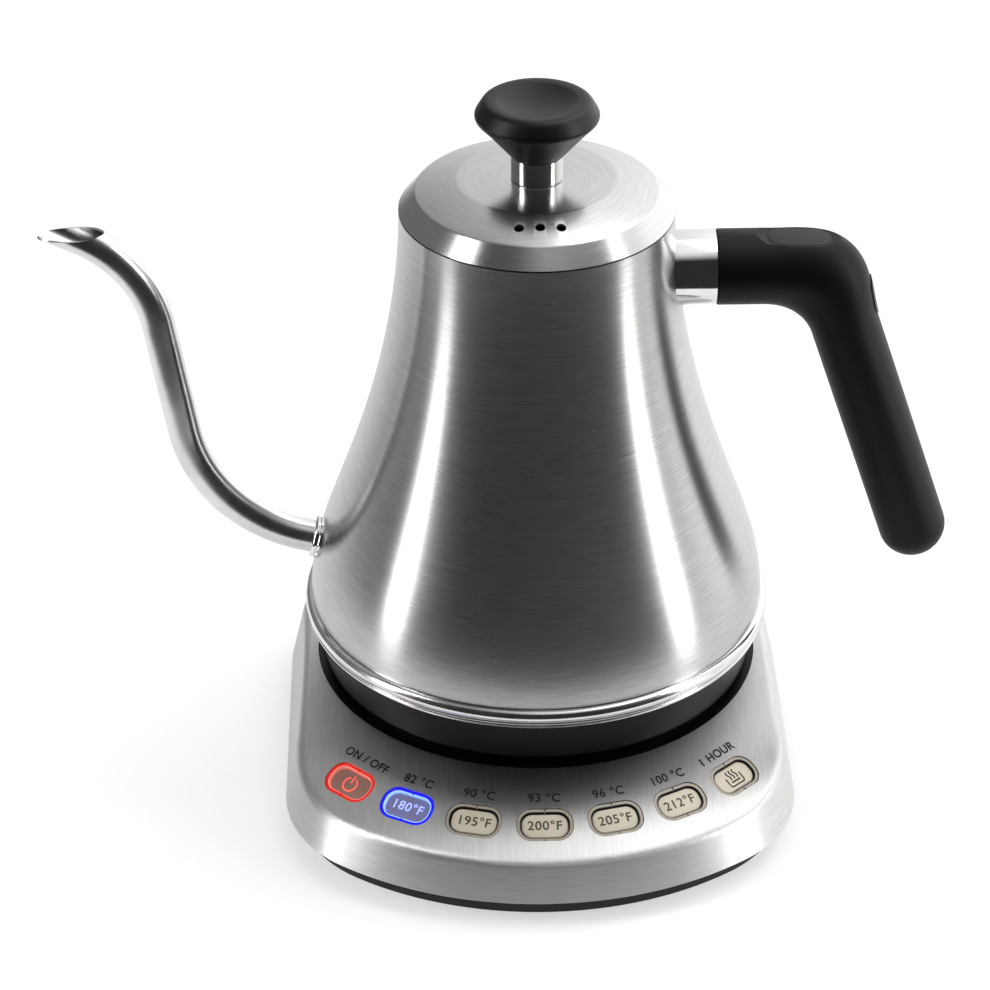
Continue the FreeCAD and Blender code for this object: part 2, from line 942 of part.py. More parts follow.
def spout_bend(start, angle, end_angle, radius):
    """Arc that turns the spout's heading, and the point where it ends."""
    sense = math.copysign(1.0, end_angle - angle)
    centre = start + sense * radius * spout_side(angle)
    middle = centre - sense * radius * spout_side((angle + end_angle) / 2)
    end = centre - sense * radius * spout_side(end_angle)
    return Part.Arc(start, middle, end).toShape(), end


def spout_centreline():
    """Wire from inside the body to past the mouth, and the height of the mouth's level cut."""
    leave, rise, mouth = (math.radians(a) for a in (spout_exit_angle, spout_rise_angle, spout_mouth_angle))
    height = shell_bottom + spout_exit_height
    wall = at(-body_radius(height), height)
    root = wall - 2 * spout_outer * spout_heading(leave)
    bend_start = wall + spout_exit_run * spout_heading(leave)
    lower, rise_start = spout_bend(bend_start, leave, rise, spout_lower_bend)
    rise_end = rise_start + spout_rise_run * spout_heading(rise)
    upper, bend_end = spout_bend(rise_end, rise, mouth, spout_upper_bend)
    past = bend_end + spout_mouth_run * spout_heading(mouth)
    edges = [
        Part.LineSegment(root, bend_start).toShape(),
        lower,
        Part.LineSegment(rise_start, rise_end).toShape(),
        upper,
        Part.LineSegment(bend_end, past).toShape(),
    ]
    return Part.Wire(edges), wall, bend_end.z + spout_lip_rise


def spout_pipe(radius):
    path = spout_centreline()[0]
    start = path.Edges[0].Vertexes[0].Point
    section = Part.Circle(start, spout_heading(math.radians(spout_exit_angle)), radius).toShape()
    return path.makePipeShell([Part.Wire(section)], True, False)


def spout():
    lip = spout_centreline()[2]
    pipe = spout_pipe(spout_outer).cut(spout_pipe(spout_outer - spout_wall))
    pipe = pipe.cut(block(-far, 0, -far, far, lip, lip + far))
    return pipe.cut(body_block(-seat_gap))


def spout_collar():
    wall = spout_centreline()[1]
    along = spout_heading(math.radians(spout_exit_angle))
    root = wall - collar_radius * along
    length = collar_radius + collar_length
    collar = Part.makeCylinder(collar_radius, length, root, along)
    end = root + length * along
    rims = [e for e in collar.Edges if (e.CenterOfMass - end).Length < collar_length / 2]
    collar = collar.makeFillet(collar_round, rims)
    bore = Part.makeCylinder(spout_outer + seat_gap, 2 * length, root - along, along)
    return collar.cut(bore).cut(body_block(-seat_gap))


# Handle

def level_bar(radius, start, end):
    return Part.makeCylinder(radius, end - start, at(start, handle_axis), X)


def grip_start():
    return shell_neck_radius + ferrule_length


def handle_ferrule():
    end = grip_start() - seat_gap
    ferrule = level_bar(tube_radius, 0.0, end).cut(level_bar(tube_radius - ferrule_wall, 0.0, end))
    return ferrule.cut(body_block(-seat_gap)).common(block(0, far, -far, far, 0, far))


def tongue_bar(gap):
    half_width = tongue_width / 2 + gap
    half_height = tongue_thickness / 2 + gap
    end = shell_neck_radius + tongue_length + gap
    return block(0, end, -half_width, half_width, handle_axis - half_height, handle_axis + half_height)


def handle_screw_place():
    return shell_neck_radius + tongue_length - 2 * handle_screw_radius - tongue_thickness / 2


def handle_tongue():
    tongue = tongue_bar(0.0).cut(body_block(-seat_gap))
    low = handle_axis - tongue_thickness
    high = handle_axis + tongue_thickness
    return tongue.cut(cylinder(handle_screw_radius + seat_gap, low, high, handle_screw_place()))


def elbow_centre():
    """Centre of the elbow's inner bend."""
    inner = handle_axis - tube_radius
    return at(elbow_reach - elbow_inner_bend * math.tan(elbow_turn / 2), inner - elbow_inner_bend)


def oval(inner, outer, half_width):
    """Closed oval section between an inner and an outer point, as wide as given along Y."""
    across = 0.5 * (outer - inner)
    points = []
    for step in range(oval_points):
        angle = 2 * math.pi * step / oval_points
        points.append(0.5 * (inner + outer) + math.cos(angle) * across + half_width * math.sin(angle) * Y)
    curve = Part.BSplineCurve()
    curve.interpolate(Points=points, PeriodicFlag=True)
    return Part.Wire(curve.toShape())


def elbow_thickness(share):
    """Depth of the handle at a share of the elbow's turn, fullest half way round."""
    even = 2 * tube_radius * (1 - share) + grip_thickness * share
    return even + elbow_bulge * math.sin(math.pi * share) ** 2


def elbow_section(share, grow):
    """Oval across the elbow at a share of its turn, grown outwards by a little."""
    tilt = share * elbow_turn
    way = at(math.sin(tilt), math.cos(tilt))
    inner = elbow_centre() + elbow_inner_bend * way
    half_width = tube_radius + (grip_width / 2 - tube_radius) * share + grow
    return oval(inner, inner + (elbow_thickness(share) + grow) * way, half_width)


def elbow_sections(grow=0.0):
    """Ovals round the elbow, with a short straight lead before and after its turn."""
    sections = [elbow_section(step / elbow_steps, grow) for step in range(elbow_steps + 1)]
    lead_in = sections[0].translated(-elbow_lead * X)
    lead_out = sections[-1].translated(elbow_lead * grip_way)
    return [lead_in, *sections, lead_out]


def grip_form():
    """Level tube, elbow lofted through ovals, and the straight grip with its rounded end."""
    sections = elbow_sections()
    elbow = Part.makeLoft(sections, True, False)
    level_run = elbow_centre().x - elbow_lead - grip_start()
    level = Part.Face(sections[0]).extrude(-level_run * X)
    corner_run = elbow_inner_bend * math.tan(elbow_turn / 2)
    straight = Part.Face(sections[-1]).extrude((grip_length - corner_run - elbow_lead) * grip_way)
    lowest = min(straight.Faces, key=lambda face: face.CenterOfMass.z)
    straight = straight.makeFillet(grip_end_round, lowest.Edges)
    return fused(level, elbow, straight)


def thumb_frame(shape):
    """Moves a shape drawn about the origin onto the thumb rest's flat, near its middle."""
    fall = math.radians(thumb_slope)
    along = at(math.cos(fall), -math.sin(fall))
    up = at(math.sin(fall), math.cos(fall))
    start = at(thumb_start + thumb_ramp, handle_axis + tube_radius - thumb_depth)
    return placed(shape, along, Y, up, start + inlay_length / 2 * along)


def thumb_cut():
    """Wedge that flattens the top of the elbow, with a ramp at its front."""
    top = handle_axis + tube_radius
    end = elbow_reach + 2 * grip_thickness
    start = thumb_start + thumb_ramp
    fall = (end - start) * math.tan(math.radians(thumb_slope))
    face = outline([
        (thumb_start, top),
        (start, top - thumb_depth),
        (end, top - thumb_depth - fall),
        (end, top + tube_radius),
        (thumb_start, top + tube_radius),
    ])
    face.translate(-far * Y)
    return face.extrude(2 * far * Y)


def inlay_bar(gap, low, high):
    corner = inlay_width / 2 - seat_gap + gap
    bar = rounded_bar(inlay_length + 2 * gap, inlay_width + 2 * gap, corner, low, high)
    return thumb_frame(bar)


def plug_bar(gap, depth):
    """Oval bar out through the back of the elbow, square to the elbow's slope there."""
    tilt = math.radians(plug_tilt)
    way = at(math.sin(tilt), math.cos(tilt))
    down = at(math.cos(tilt), -math.sin(tilt))
    reach = elbow_inner_bend + elbow_thickness(tilt / elbow_turn)
    corner = plug_width / 2 - seat_gap + gap
    bar = rounded_bar(plug_length + 2 * gap, plug_width + 2 * gap, corner, -depth, tube_radius)
    return placed(bar, down, Y, way, elbow_centre() + reach * way)


def handle_grip():
    grip = grip_form().cut(thumb_cut())
    grip = grip.cut(tongue_bar(seat_gap))
    grip = grip.cut(inlay_bar(seat_gap, -inlay_thickness, tube_radius))
    head_top = handle_screw_head_top()
    x = handle_screw_place()
    grip = grip.cut(cylinder(handle_screw_radius + seat_gap, handle_axis - tube_radius / 2, head_top, x))
    head_low = head_top - handle_screw_head_height
    grip = grip.cut(cylinder(handle_screw_head + seat_gap, head_low - seat_gap, head_top + tube_radius, x))
    return grip.cut(plug_bar(seat_gap, plug_depth + seat_gap))


def handle_screw_head_top():
    return handle_axis + tube_radius - thumb_depth - 2 * inlay_thickness


def handle_screw():
    x = handle_screw_place()
    head_top = handle_screw_head_top()
    head_low = head_top - handle_screw_head_height
    head = cylinder(handle_screw_head, head_low, head_top, x)
    shank = cylinder(handle_screw_radius, handle_axis - tongue_thickness, head_low, x)
    return fused(head, shank)


def thumb_rest():
    return inlay_bar(0.0, -inlay_thickness + seat_gap, 0.0)


def elbow_plug():
    return plug_bar(0.0, plug_depth).common(Part.makeLoft(elbow_sections(plug_proud), True, False))


# Lid and knob

def lid_bottom():
    return shell_top + moving_gap


def crown_height():
    return lid_bottom() + lid_bevel_height + lid_crown_rise


def vents(low, high):
    offsets = [vent_pitch * (i - (vent_count - 1) / 2) for i in range(vent_count)]
    return [cylinder(vent_radius, low, high, offset, -vent_circle) for offset in offsets]


def lid_shell():
    bottom = lid_bottom()
    crease = shell_neck_radius - lid_bevel_width
    crease_height = bottom + lid_bevel_height
    top = crown_height()
    hole = knob_screw_radius + seat_gap
    dish = turned([
        (hole, top),
        (lid_crown_radius, top),
        (crease, crease_height),
        (shell_neck_radius, bottom),
        (shell_neck_radius - lid_edge_wall, bottom),
        (crease - lid_wall / 2, crease_height - lid_wall),
        (lid_crown_radius - lid_wall / 2, top - lid_wall),
        (hole, top - lid_wall),
    ])
    creases = []
    for edge in dish.Edges:
        on_crease = abs(edge.BoundBox.XMax - crease) < seat_gap and edge.BoundBox.ZLength < seat_gap
        if on_crease:
            creases.append(edge)
    dish = dish.makeFillet(lid_crease_round, creases)
    return dish.cut(vents(bottom, top + lid_wall))


def plug_face_radius():
    return throat_radius - lid_plug_clearance


def lid_plate():
    """Cup under the lid that plugs the throat, with a groove for the seal."""
    outer = plug_face_radius()
    root = outer - lid_seal_depth + lid_plug_clearance
    bottom = shell_top - lid_plug_depth
    seal_low = bottom + lid_flange_height
    seal_high = seal_low + lid_seal_height + 2 * seat_gap
    bevel = (lid_bevel_height - lid_wall) / (lid_bevel_width - lid_edge_wall + lid_wall / 2)
    under_bevel = lid_bottom() + (shell_neck_radius - lid_edge_wall - root) * bevel - 2 * seat_gap
    plate = turned([
        (0, bottom),
        (outer, bottom),
        (outer, seal_low),
        (root, seal_low),
        (root, seal_high),
        (outer, seal_high),
        (outer, seal_high + lid_flange_height),
        (root, seal_high + lid_flange_height),
        (root, under_bevel),
        (root - lid_plug_wall, under_bevel),
        (root - lid_plug_wall, bottom + lid_plate_thickness),
        (0, bottom + lid_plate_thickness),
    ])
    return plate.cut(vents(bottom, bottom + lid_plate_thickness))


def lid_seal():
    root = plug_face_radius() - lid_seal_depth + lid_plug_clearance
    low = shell_top - lid_plug_depth + lid_flange_height + seat_gap
    return tube(throat_radius - moving_gap, root + seat_gap, low, low + lid_seal_height)


def stem_bottom():
    return crown_height() + seat_gap


def knob_bottom():
    return stem_bottom() + stem_height + seat_gap


def knob_stem():
    return tube(stem_outer, stem_outer - stem_wall, stem_bottom(), stem_bottom() + stem_height)


def knob():
    low = knob_bottom()
    top = low + knob_height
    hole = knob_screw_radius + seat_gap
    bite = low + knob_screw_bite + seat_gap
    ball = (knob_dish_radius ** 2 + knob_dish_depth ** 2) / (2 * knob_dish_depth)
    dish_sag = knob_dish_depth - ball + math.sqrt(ball ** 2 - (knob_dish_radius / 2) ** 2)
    body = turned([
        (hole, low),
        (knob_foot_radius, low),
        (knob_crease_radius, low + knob_crease_height),
        (knob_radius, low + knob_widest_height),
        (knob_top_radius, top),
        (knob_dish_radius, top),
        ((knob_dish_radius / 2, top - dish_sag), (0, top - knob_dish_depth)),
        (0, bite),
        (hole, bite),
    ])
    rims = []
    for edge in body.Edges:
        level = edge.BoundBox.ZLength < seat_gap
        offsets = [abs(edge.BoundBox.XMax - radius) for radius in (knob_radius, knob_top_radius)]
        if level and min(offsets) < seat_gap:
            rims.append(edge)
    return body.makeFillet(knob_round, rims)


def knob_screw():
    head_top = crown_height() - lid_wall - seat_gap
    head = cylinder(knob_screw_head, head_top - knob_screw_head_height, head_top)
    shank = cylinder(knob_screw_radius, head_top, knob_bottom() + knob_screw_bite)
    return fused(head, shank)


# Every node and its solid

nodes = {
    "base_pan": base_pan(),
    "base_top_cover": base_top_cover(),
    "base_well": base_well(),
    "foot_ring": foot_ring(),
    "base_screws": base_screws(),
    "base_connector": base_connector(),
    "connector_contacts": connector_contacts(),
    "power_light_ring": light_rings([0]),
    "preset_light_ring": light_rings([1]),
    "unlit_light_rings": light_rings(range(2, len(button_names))),
    "tact_switches": tact_switches(),
    "indicator_lamps": indicator_lamps(),
    "control_board": control_board(),
    "switch_carrier": switch_carrier(),
    "power_board": power_board(),
    "relay": on_power_board(relay_corner, relay_size),
    "transformer": on_power_board(transformer_corner, transformer_size),
    "terminal_block": on_power_board(terminal_corner, terminal_size),
    "capacitor": capacitor(),
    "buzzer": buzzer(),
    "cord_gland": cord_gland(),
    "kettle_connector": kettle_connector(),
    "kettle_pin": kettle_pin(),
    "kettle_contact_rings": kettle_contact_rings(),
    "kettle_shell": kettle_shell(),
    "rim_ring": rim_ring(),
    "kettle_floor": kettle_floor(),
    "heat_spreader": heat_spreader(),
    "heating_element": heating_element(),
    "element_terminals": element_terminals(),
    "temperature_sensor": temperature_sensor(),
    "sensor_seal": sensor_seal(),
    "thermal_cutout": thermal_cutout(),
    "thermal_fuse": thermal_fuse(),
    "skirt": skirt(),
    "skirt_screws": skirt_screws(),
    "spout": spout(),
    "spout_collar": spout_collar(),
    "handle_ferrule": handle_ferrule(),
    "handle_tongue": handle_tongue(),
    "handle_grip": handle_grip(),
    "handle_screw": handle_screw(),
    "thumb_rest": thumb_rest(),
    "elbow_plug": elbow_plug(),
    "lid_shell": lid_shell(),
    "lid_plate": lid_plate(),
    "lid_seal": lid_seal(),
    "knob_stem": knob_stem(),
    "knob": knob(),
    "knob_screw": knob_screw(),
}
for name, shape in zip(button_names, at_each_button(button_cap())):
    nodes["button_" + name] = shape

os.makedirs("parts", exist_ok=True)
for name, shape in nodes.items():
    shape.exportStep("parts/" + name + ".step")
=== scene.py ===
import bpy
import math
from mathutils import Matrix, Vector


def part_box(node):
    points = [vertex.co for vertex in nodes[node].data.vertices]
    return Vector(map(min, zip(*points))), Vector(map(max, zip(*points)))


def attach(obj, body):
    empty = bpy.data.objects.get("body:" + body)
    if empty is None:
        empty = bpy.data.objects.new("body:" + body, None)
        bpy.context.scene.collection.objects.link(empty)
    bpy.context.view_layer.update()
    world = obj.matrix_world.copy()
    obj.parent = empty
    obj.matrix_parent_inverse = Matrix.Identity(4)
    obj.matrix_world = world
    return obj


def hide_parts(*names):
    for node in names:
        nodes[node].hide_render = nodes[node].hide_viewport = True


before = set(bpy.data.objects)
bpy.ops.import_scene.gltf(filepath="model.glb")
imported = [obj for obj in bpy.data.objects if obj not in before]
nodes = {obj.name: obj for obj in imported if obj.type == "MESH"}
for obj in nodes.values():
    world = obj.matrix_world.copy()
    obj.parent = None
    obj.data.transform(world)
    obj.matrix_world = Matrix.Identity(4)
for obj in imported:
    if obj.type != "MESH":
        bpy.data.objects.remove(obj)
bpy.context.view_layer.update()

# Gooseneck electric kettle on its powered base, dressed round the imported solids.
# Sizes are in millimetres times mm, in the frame of the solids.
mm = 0.001
full_turn = 2 * math.pi
merge_gap = 0.002 * mm
hair = 0.001 * mm

# Kettle shell, a quartic curve from the foot to the neck
shell_low, shell_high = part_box("kettle_shell")
shell_foot = shell_high.y
shell_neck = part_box("lid_shell")[1].y
shell_wall = 0.8 * mm
belly_rise = 29.2 * mm
waist_radius = 55.7 * mm
waist_height = 41.5 * mm
neck_rise = 37.3 * mm
curve_steps = 56
round_segments = 192

# Rim bead and skirt
rim_low, rim_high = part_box("rim_ring")
rim_lip = 0.7 * mm
rim_groove = 1.4 * mm
rim_lip_height = 1.4 * mm
rim_lip_round = 0.7 * mm
rim_play = 0.1 * mm
rim_seam = 0.5 * mm
skirt_low, skirt_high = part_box("skirt")
skirt_round = 2.0 * mm
skirt_wall = 2.5 * mm
skirt_ledge = 3.0 * mm

# Lid and knob
lid_low, lid_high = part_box("lid_shell")
lid_bevel_width = 5.0 * mm
lid_bevel_height = 6.1 * mm
lid_crown = 24.6 * mm
lid_crease_round = 1.8 * mm
lid_wall = 0.8 * mm
lid_edge_ease = 0.25 * mm
lid_crown_ease = 0.6 * mm
lid_crown_drop = 0.15 * mm
lid_seat = 1.3 * mm
lid_screw_hole = 2.1 * mm
vent_radius = 1.55 * mm
vent_pitch = 6.3 * mm
vent_place = 30.0 * mm
vent_drill = 20.0 * mm
stem_low, stem_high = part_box("knob_stem")
stem_wall = 1.2 * mm
stem_ease = 0.3 * mm
knob_low, knob_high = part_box("knob")
knob_foot = 8.3 * mm
knob_crease = 16.0 * mm
knob_crease_height = 9.0 * mm
knob_widest = 19.5 * mm
knob_widest_height = 12.6 * mm
knob_top = 16.4 * mm
knob_dish = 12.8 * mm
knob_dish_depth = 2.4 * mm
knob_round = 1.6 * mm
knob_pole = 0.05 * mm
knob_dish_steps = 10

# Spout, straight runs and two bends in the XZ plane
spout_radius = 4.55 * mm
spout_wall = 0.7 * mm
spout_exit_height = 18.5 * mm
spout_exit = math.radians(14.7)
spout_tilt = spout_exit - math.pi / 2
spout_rise = math.radians(80.7)
spout_mouth = math.radians(26.0)
spout_exit_run = 5.5 * mm
spout_lower_bend = 49.2 * mm
spout_rise_run = 38.6 * mm
spout_upper_bend = 41.5 * mm
spout_mouth_run = 27.0 * mm
spout_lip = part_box("spout")[1].z
spout_segments = 40
spout_bend_steps = 28
collar_radius = 6.8 * mm
collar_length = 2.2 * mm
collar_round = 0.9 * mm
collar_inset = 1.2 * mm
collar_groove = (0.35 * mm, 0.75 * mm, 1.05 * mm)
collar_groove_depth = 0.35 * mm

# Handle
ferrule_low, ferrule_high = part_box("handle_ferrule")
tube_radius = ferrule_high.y
handle_axis = (ferrule_low.z + ferrule_high.z) / 2
ferrule_wall = 1.5 * mm
ferrule_tuck = 0.4 * mm
ferrule_ease = 0.35 * mm
grip_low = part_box("handle_grip")[0]
grip_lean = math.radians(18.7)
grip_thickness = 21.5 * mm
grip_width = 24.0 * mm
grip_length = 99.5 * mm
grip_end_round = 8.5 * mm
grip_start_ease = 0.5 * mm
grip_end_steps = 10
elbow_reach = 82.2 * mm
elbow_bend = 17.0 * mm
elbow_bulge = 5.5 * mm
elbow_turn = math.pi / 2 - grip_lean
elbow_steps = 30
thumb_start = 67.0 * mm
thumb_ramp = 4.0 * mm
thumb_depth = 1.5 * mm
thumb_fall = math.radians(2.5)
thumb_cut = 60.0 * mm
thumb_top = handle_axis + tube_radius
thumb_flat = Vector((thumb_start + thumb_ramp, 0, thumb_top - thumb_depth))
thumb_along = Vector((math.cos(thumb_fall), 0, -math.sin(thumb_fall)))
inlay_length = 20.0 * mm
inlay_width = 11.4 * mm
inlay_sink = 1.0 * mm
inlay_rise = 0.12 * mm
inlay_round = 0.3 * mm
inlay_end = inlay_width / 2 - 0.1 * mm

# Base panel and buttons
cover_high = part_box("base_top_cover")[1]
presets = ("180", "195", "200", "205", "212")
button_names = ("power", *presets, "hold")
opening_radius = 71.5 * mm
button_circle = 88.8 * mm
button_row_margin = 21.0 * mm
window_spacing = 4.5 * mm
panel_slope = math.radians(27.3)
panel_ease = 34.0 * mm
panel_easing = math.radians(27)
button_span = math.asin((cover_high.x - button_row_margin) / button_circle)
button_pitch = 2 * button_span / (len(button_names) - 1)
window_length = button_circle * button_pitch - window_spacing
window_width = 11.3 * mm
window_corner = 5.0 * mm
ring_play = 0.1 * mm
ring_wall = 1.2 * mm
ring_edge = 0.22 * mm
ring_top_round = 0.15 * mm
ring_hollow = 3.0 * mm
ring_recess = 0.5 * mm
ring_depth = 4.0 * mm
ring_split = 0.5 * mm
cap_margin = 1.6 * mm
cap_recess = 1.1 * mm
cap_round = 0.5 * mm
cap_depth = 1.6 * mm

# Print on the caps and the panel
ink = 0.04 * mm
bold = 0.05 * mm
letter_spacing = 1.08
symbol_line = 0.5 * mm
symbol_flatness = 0.12
symbol_unit = 1.25 * mm
power_radius = 2.4 * mm
power_drop = 0.3 * mm
power_gap = 60
power_bar = (0.2 * mm, 2.9 * mm)
number_size = 4.3 * mm
mark_size = 4.0 * mm
mark_rise = window_width / 2 + 3.4 * mm
mark_bow = math.sin(panel_slope) / (button_circle - mark_rise * math.cos(panel_slope))
panel_marks = ("ON / OFF", "82 °C", "90 °C", "93 °C", "96 °C", "100 °C", "1 HOUR")

# Brush strokes in the steel, in millimetres, several times coarser than real ones so that they show
stroke_width = 0.35
stroke_length = 10.0
stroke_depth = 0.01
smear_length = 60.0

# Floor in metres, and the brightness of the floor and of the studio walls
floor_radius = 0.45
floor_shift = 0.24
floor_glow = 0.57
front_wall = 0.03
back_left = 0.2
back_right = 1.6
ceiling_left = 0.3
ceiling_right = 1.15

# Soft boxes: azimuth and elevation in degrees, distance and size in metres, watts
aim = Vector((0, 0, 0.11))
soft_boxes = {
    "left_strip": (-74, 22, 1.3, (0.27, 1.5), 9),
    "right_strip": (72, 14, 1.3, (0.24, 1.2), 7),
    "top_box": (110, 62, 1.4, (1.0, 0.8), 5),
}

# Camera of the photograph
camera_place = Vector((-2.5, -982.2, 692.6)) * mm
camera_yaw = math.radians(-0.625)
camera_pitch = math.radians(31.45)
camera_roll = math.radians(-0.254)
object_turn = math.radians(1.8)
focal_pixels = 3583.7
image_pixels = 990
sensor = 36.0


# Modelling helpers

def ready():
    """Leaves edit mode with nothing selected."""
    if bpy.context.object and bpy.context.object.mode != "OBJECT":
        bpy.ops.object.mode_set(mode="OBJECT")
    bpy.ops.object.select_all(action="DESELECT")


def edit(piece):
    """Opens one piece in edit mode with nothing selected."""
    ready()
    piece.select_set(True)
    bpy.context.view_layer.objects.active = piece
    bpy.ops.object.mode_set(mode="EDIT")
    bpy.ops.mesh.select_mode(type="VERT")
    bpy.ops.mesh.select_all(action="DESELECT")


def close_up(piece):
    """Merges doubled points and turns the faces outwards."""
    edit(piece)
    bpy.ops.mesh.select_all(action="SELECT")
    bpy.ops.mesh.remove_doubles(threshold=merge_gap)
    bpy.ops.mesh.normals_make_consistent(inside=False)
    ready()


def pick_edges(piece, test):
    """Opens a piece with the edges selected whose two ends pass a test."""
    edit(piece)
    bpy.ops.mesh.select_mode(type="EDGE")
    bpy.ops.object.mode_set(mode="OBJECT")
    points = piece.data.vertices
    for line in piece.data.edges:
        a, b = (points[i].co for i in line.vertices)
        line.select = bool(test(a, b))
    bpy.ops.object.mode_set(mode="EDIT")


def pick_faces(piece, test):
    """Opens a piece with the faces selected whose middle and normal pass a test."""
    edit(piece)
    bpy.ops.mesh.select_mode(type="FACE")
    bpy.ops.object.mode_set(mode="OBJECT")
    for face in piece.data.polygons:
        face.select = bool(test(face.center, face.normal))
    bpy.ops.object.mode_set(mode="EDIT")


def apply_modifier(piece, kind, **settings):
    ready()
    piece.select_set(True)
    bpy.context.view_layer.objects.active = piece
    modifier = piece.modifiers.new(kind.lower(), kind)
    for name, value in settings.items():
        setattr(modifier, name, value)
    bpy.ops.object.modifier_apply(modifier=modifier.name)


def settle(piece, place):
    """Moves a piece drawn at the origin to its place, with the place in its mesh."""
    ready()
    piece.matrix_world = place
    piece.select_set(True)
    bpy.context.view_layer.objects.active = piece
    bpy.ops.object.transform_apply(location=True, rotation=True, scale=True)


def turned(name, profile, segments=round_segments):
    """Ring drawn along a closed profile of radius and height pairs, as on a potter's wheel."""
    radius, height = profile[0]
    ready()
    bpy.ops.mesh.primitive_circle_add(vertices=segments, radius=radius, location=(0, 0, height))
    piece = bpy.context.object
    piece.name = name
    bpy.ops.object.transform_apply()
    bpy.ops.object.mode_set(mode="EDIT")
    bpy.ops.mesh.select_all(action="SELECT")
    for next_radius, next_height in (*profile[1:], profile[0]):
        step = (0, 0, next_height - height)
        bpy.ops.mesh.extrude_region_move(TRANSFORM_OT_translate={"value": step})
        scale = next_radius / radius
        bpy.ops.transform.resize(value=(scale, scale, 1), center_override=(0, 0, next_height))
        radius, height = next_radius, next_height
    close_up(piece)
    return piece


def arc(centre, radius, start, end, steps):
    """Points on an arc of a profile, angles in degrees from the outward direction."""
    points = []
    for step in range(steps + 1):
        angle = math.radians(start + (end - start) * step / steps)
        points.append((centre[0] + radius * math.cos(angle), centre[1] + radius * math.sin(angle)))
    return points


def softened(profile, ease, steps=4):
    """Profile with its corners eased by short curves, apart from its two ends."""
    points = [profile[0]]
    for before, corner, after in zip(profile, profile[1:], profile[2:]):
        a, b, c = Vector(before), Vector(corner), Vector(after)
        start = b + (a - b).normalized() * min(ease, (a - b).length / 2)
        end = b + (c - b).normalized() * min(ease, (c - b).length / 2)
        for step in range(steps + 1):
            share = step / steps
            points.append(tuple((1 - share) ** 2 * start + 2 * share * (1 - share) * b + share ** 2 * end))
    return [*points, profile[-1]]


def rounded_block(name, length, width, corner, low, high, top_round=0.0):
    """Bar with rounded corners in plan, and a soft top edge."""
    ready()
    bpy.ops.mesh.primitive_cube_add(size=1)
    piece = bpy.context.object
    piece.name = name
    piece.scale = (length, width, high - low)
    piece.location = (0, 0, (low + high) / 2)
    bpy.ops.object.transform_apply()
    pick_edges(piece, lambda a, b: abs(a.z - b.z) > (high - low) / 2)
    bpy.ops.mesh.bevel(offset=corner, segments=10, affect="EDGES")
    if top_round:
        pick_edges(piece, lambda a, b: min(a.z, b.z) > high - hair)
        bpy.ops.mesh.bevel(offset=top_round, segments=4, affect="EDGES")
    ready()
    return piece


def drawn_tube(name, sections):
    """Closed skin through rings of points: each ring is extruded from the last and set in its place."""
    ready()
    bpy.ops.mesh.primitive_circle_add(vertices=len(sections[0]), fill_type="NGON")
    piece = bpy.context.object
    piece.name = name
    count = len(sections[0])
    for number, ring in enumerate(sections):
        if number:
            edit(piece)
            bpy.ops.object.mode_set(mode="OBJECT")
            for point in piece.data.vertices[-count:]:
                point.select = True
            bpy.ops.object.mode_set(mode="EDIT")
            bpy.ops.mesh.extrude_region_move()
            bpy.ops.object.mode_set(mode="OBJECT")
        for point, place in zip(piece.data.vertices[-count:], ring):
            point.co = place
    close_up(piece)
    return piece


def smooth_copy(node, name):
    """Copy of a node with its loose triangles joined into one skin."""
    ready()
    nodes[node].select_set(True)
    bpy.context.view_layer.objects.active = nodes[node]
    bpy.ops.object.duplicate()
    piece = bpy.context.object
    piece.name = name
    piece.parent = None
    piece.data.materials.clear()
    for key in list(piece.keys()):
        del piece[key]
    if piece.data.has_custom_normals:
        bpy.ops.mesh.customdata_custom_splitnormals_clear()
    edit(piece)
    bpy.ops.mesh.select_all(action="SELECT")
    bpy.ops.mesh.remove_doubles(threshold=merge_gap)
    ready()
    return piece


def finished(piece, body, material, replaces=(), angle=28.0):
    """Gives a piece its finish, its smooth shading and the body that carries it."""
    ready()
    piece.select_set(True)
    bpy.context.view_layer.objects.active = piece
    bpy.ops.object.shade_smooth_by_angle(angle=math.radians(angle))
    if not piece.data.materials:
        piece.data.materials.append(material)
    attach(piece, body)
    if replaces:
        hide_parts(*replaces)
    return piece


# Material helpers

def linear(text):
    """Linear colour of an sRGB hex value."""
    parts = [int(text[i:i + 2], 16) / 255 for i in (1, 3, 5)]
    return (*[p / 12.92 if p <= 0.04045 else ((p + 0.055) / 1.055) ** 2.4 for p in parts], 1.0)


def add(tree, kind, inputs=(), **settings):
    """Adds a shader node with its settings, and sets or links its inputs."""
    made = tree.nodes.new("ShaderNode" + kind)
    for name, value in settings.items():
        setattr(made, name, value)
    for socket, value in dict(inputs).items():
        if isinstance(value, bpy.types.NodeSocket):
            tree.links.new(value, made.inputs[socket])
        else:
            made.inputs[socket].default_value = value
    return made


def surface(name, **constants):
    """New material, its node tree and its shader with constants set on the shader's own sockets."""
    material = bpy.data.materials.new(name)
    material.use_nodes = True
    tree = material.node_tree
    shader = tree.nodes["Principled BSDF"]
    for socket, value in constants.items():
        shader.inputs[socket.replace("_", " ")].default_value = value
    return material, tree, shader


def per_mm(size):
    """Noise scale whose features are about a given number of millimetres across."""
    return 1.0 / (size * mm)


def axis_distance(tree, split):
    """Distance of a split place from the kettle's axis."""
    level = add(tree, "CombineXYZ", {0: split.outputs[0], 1: split.outputs[1]})
    return add(tree, "VectorMath", {0: level.outputs[0]}, operation="LENGTH").outputs["Value"]


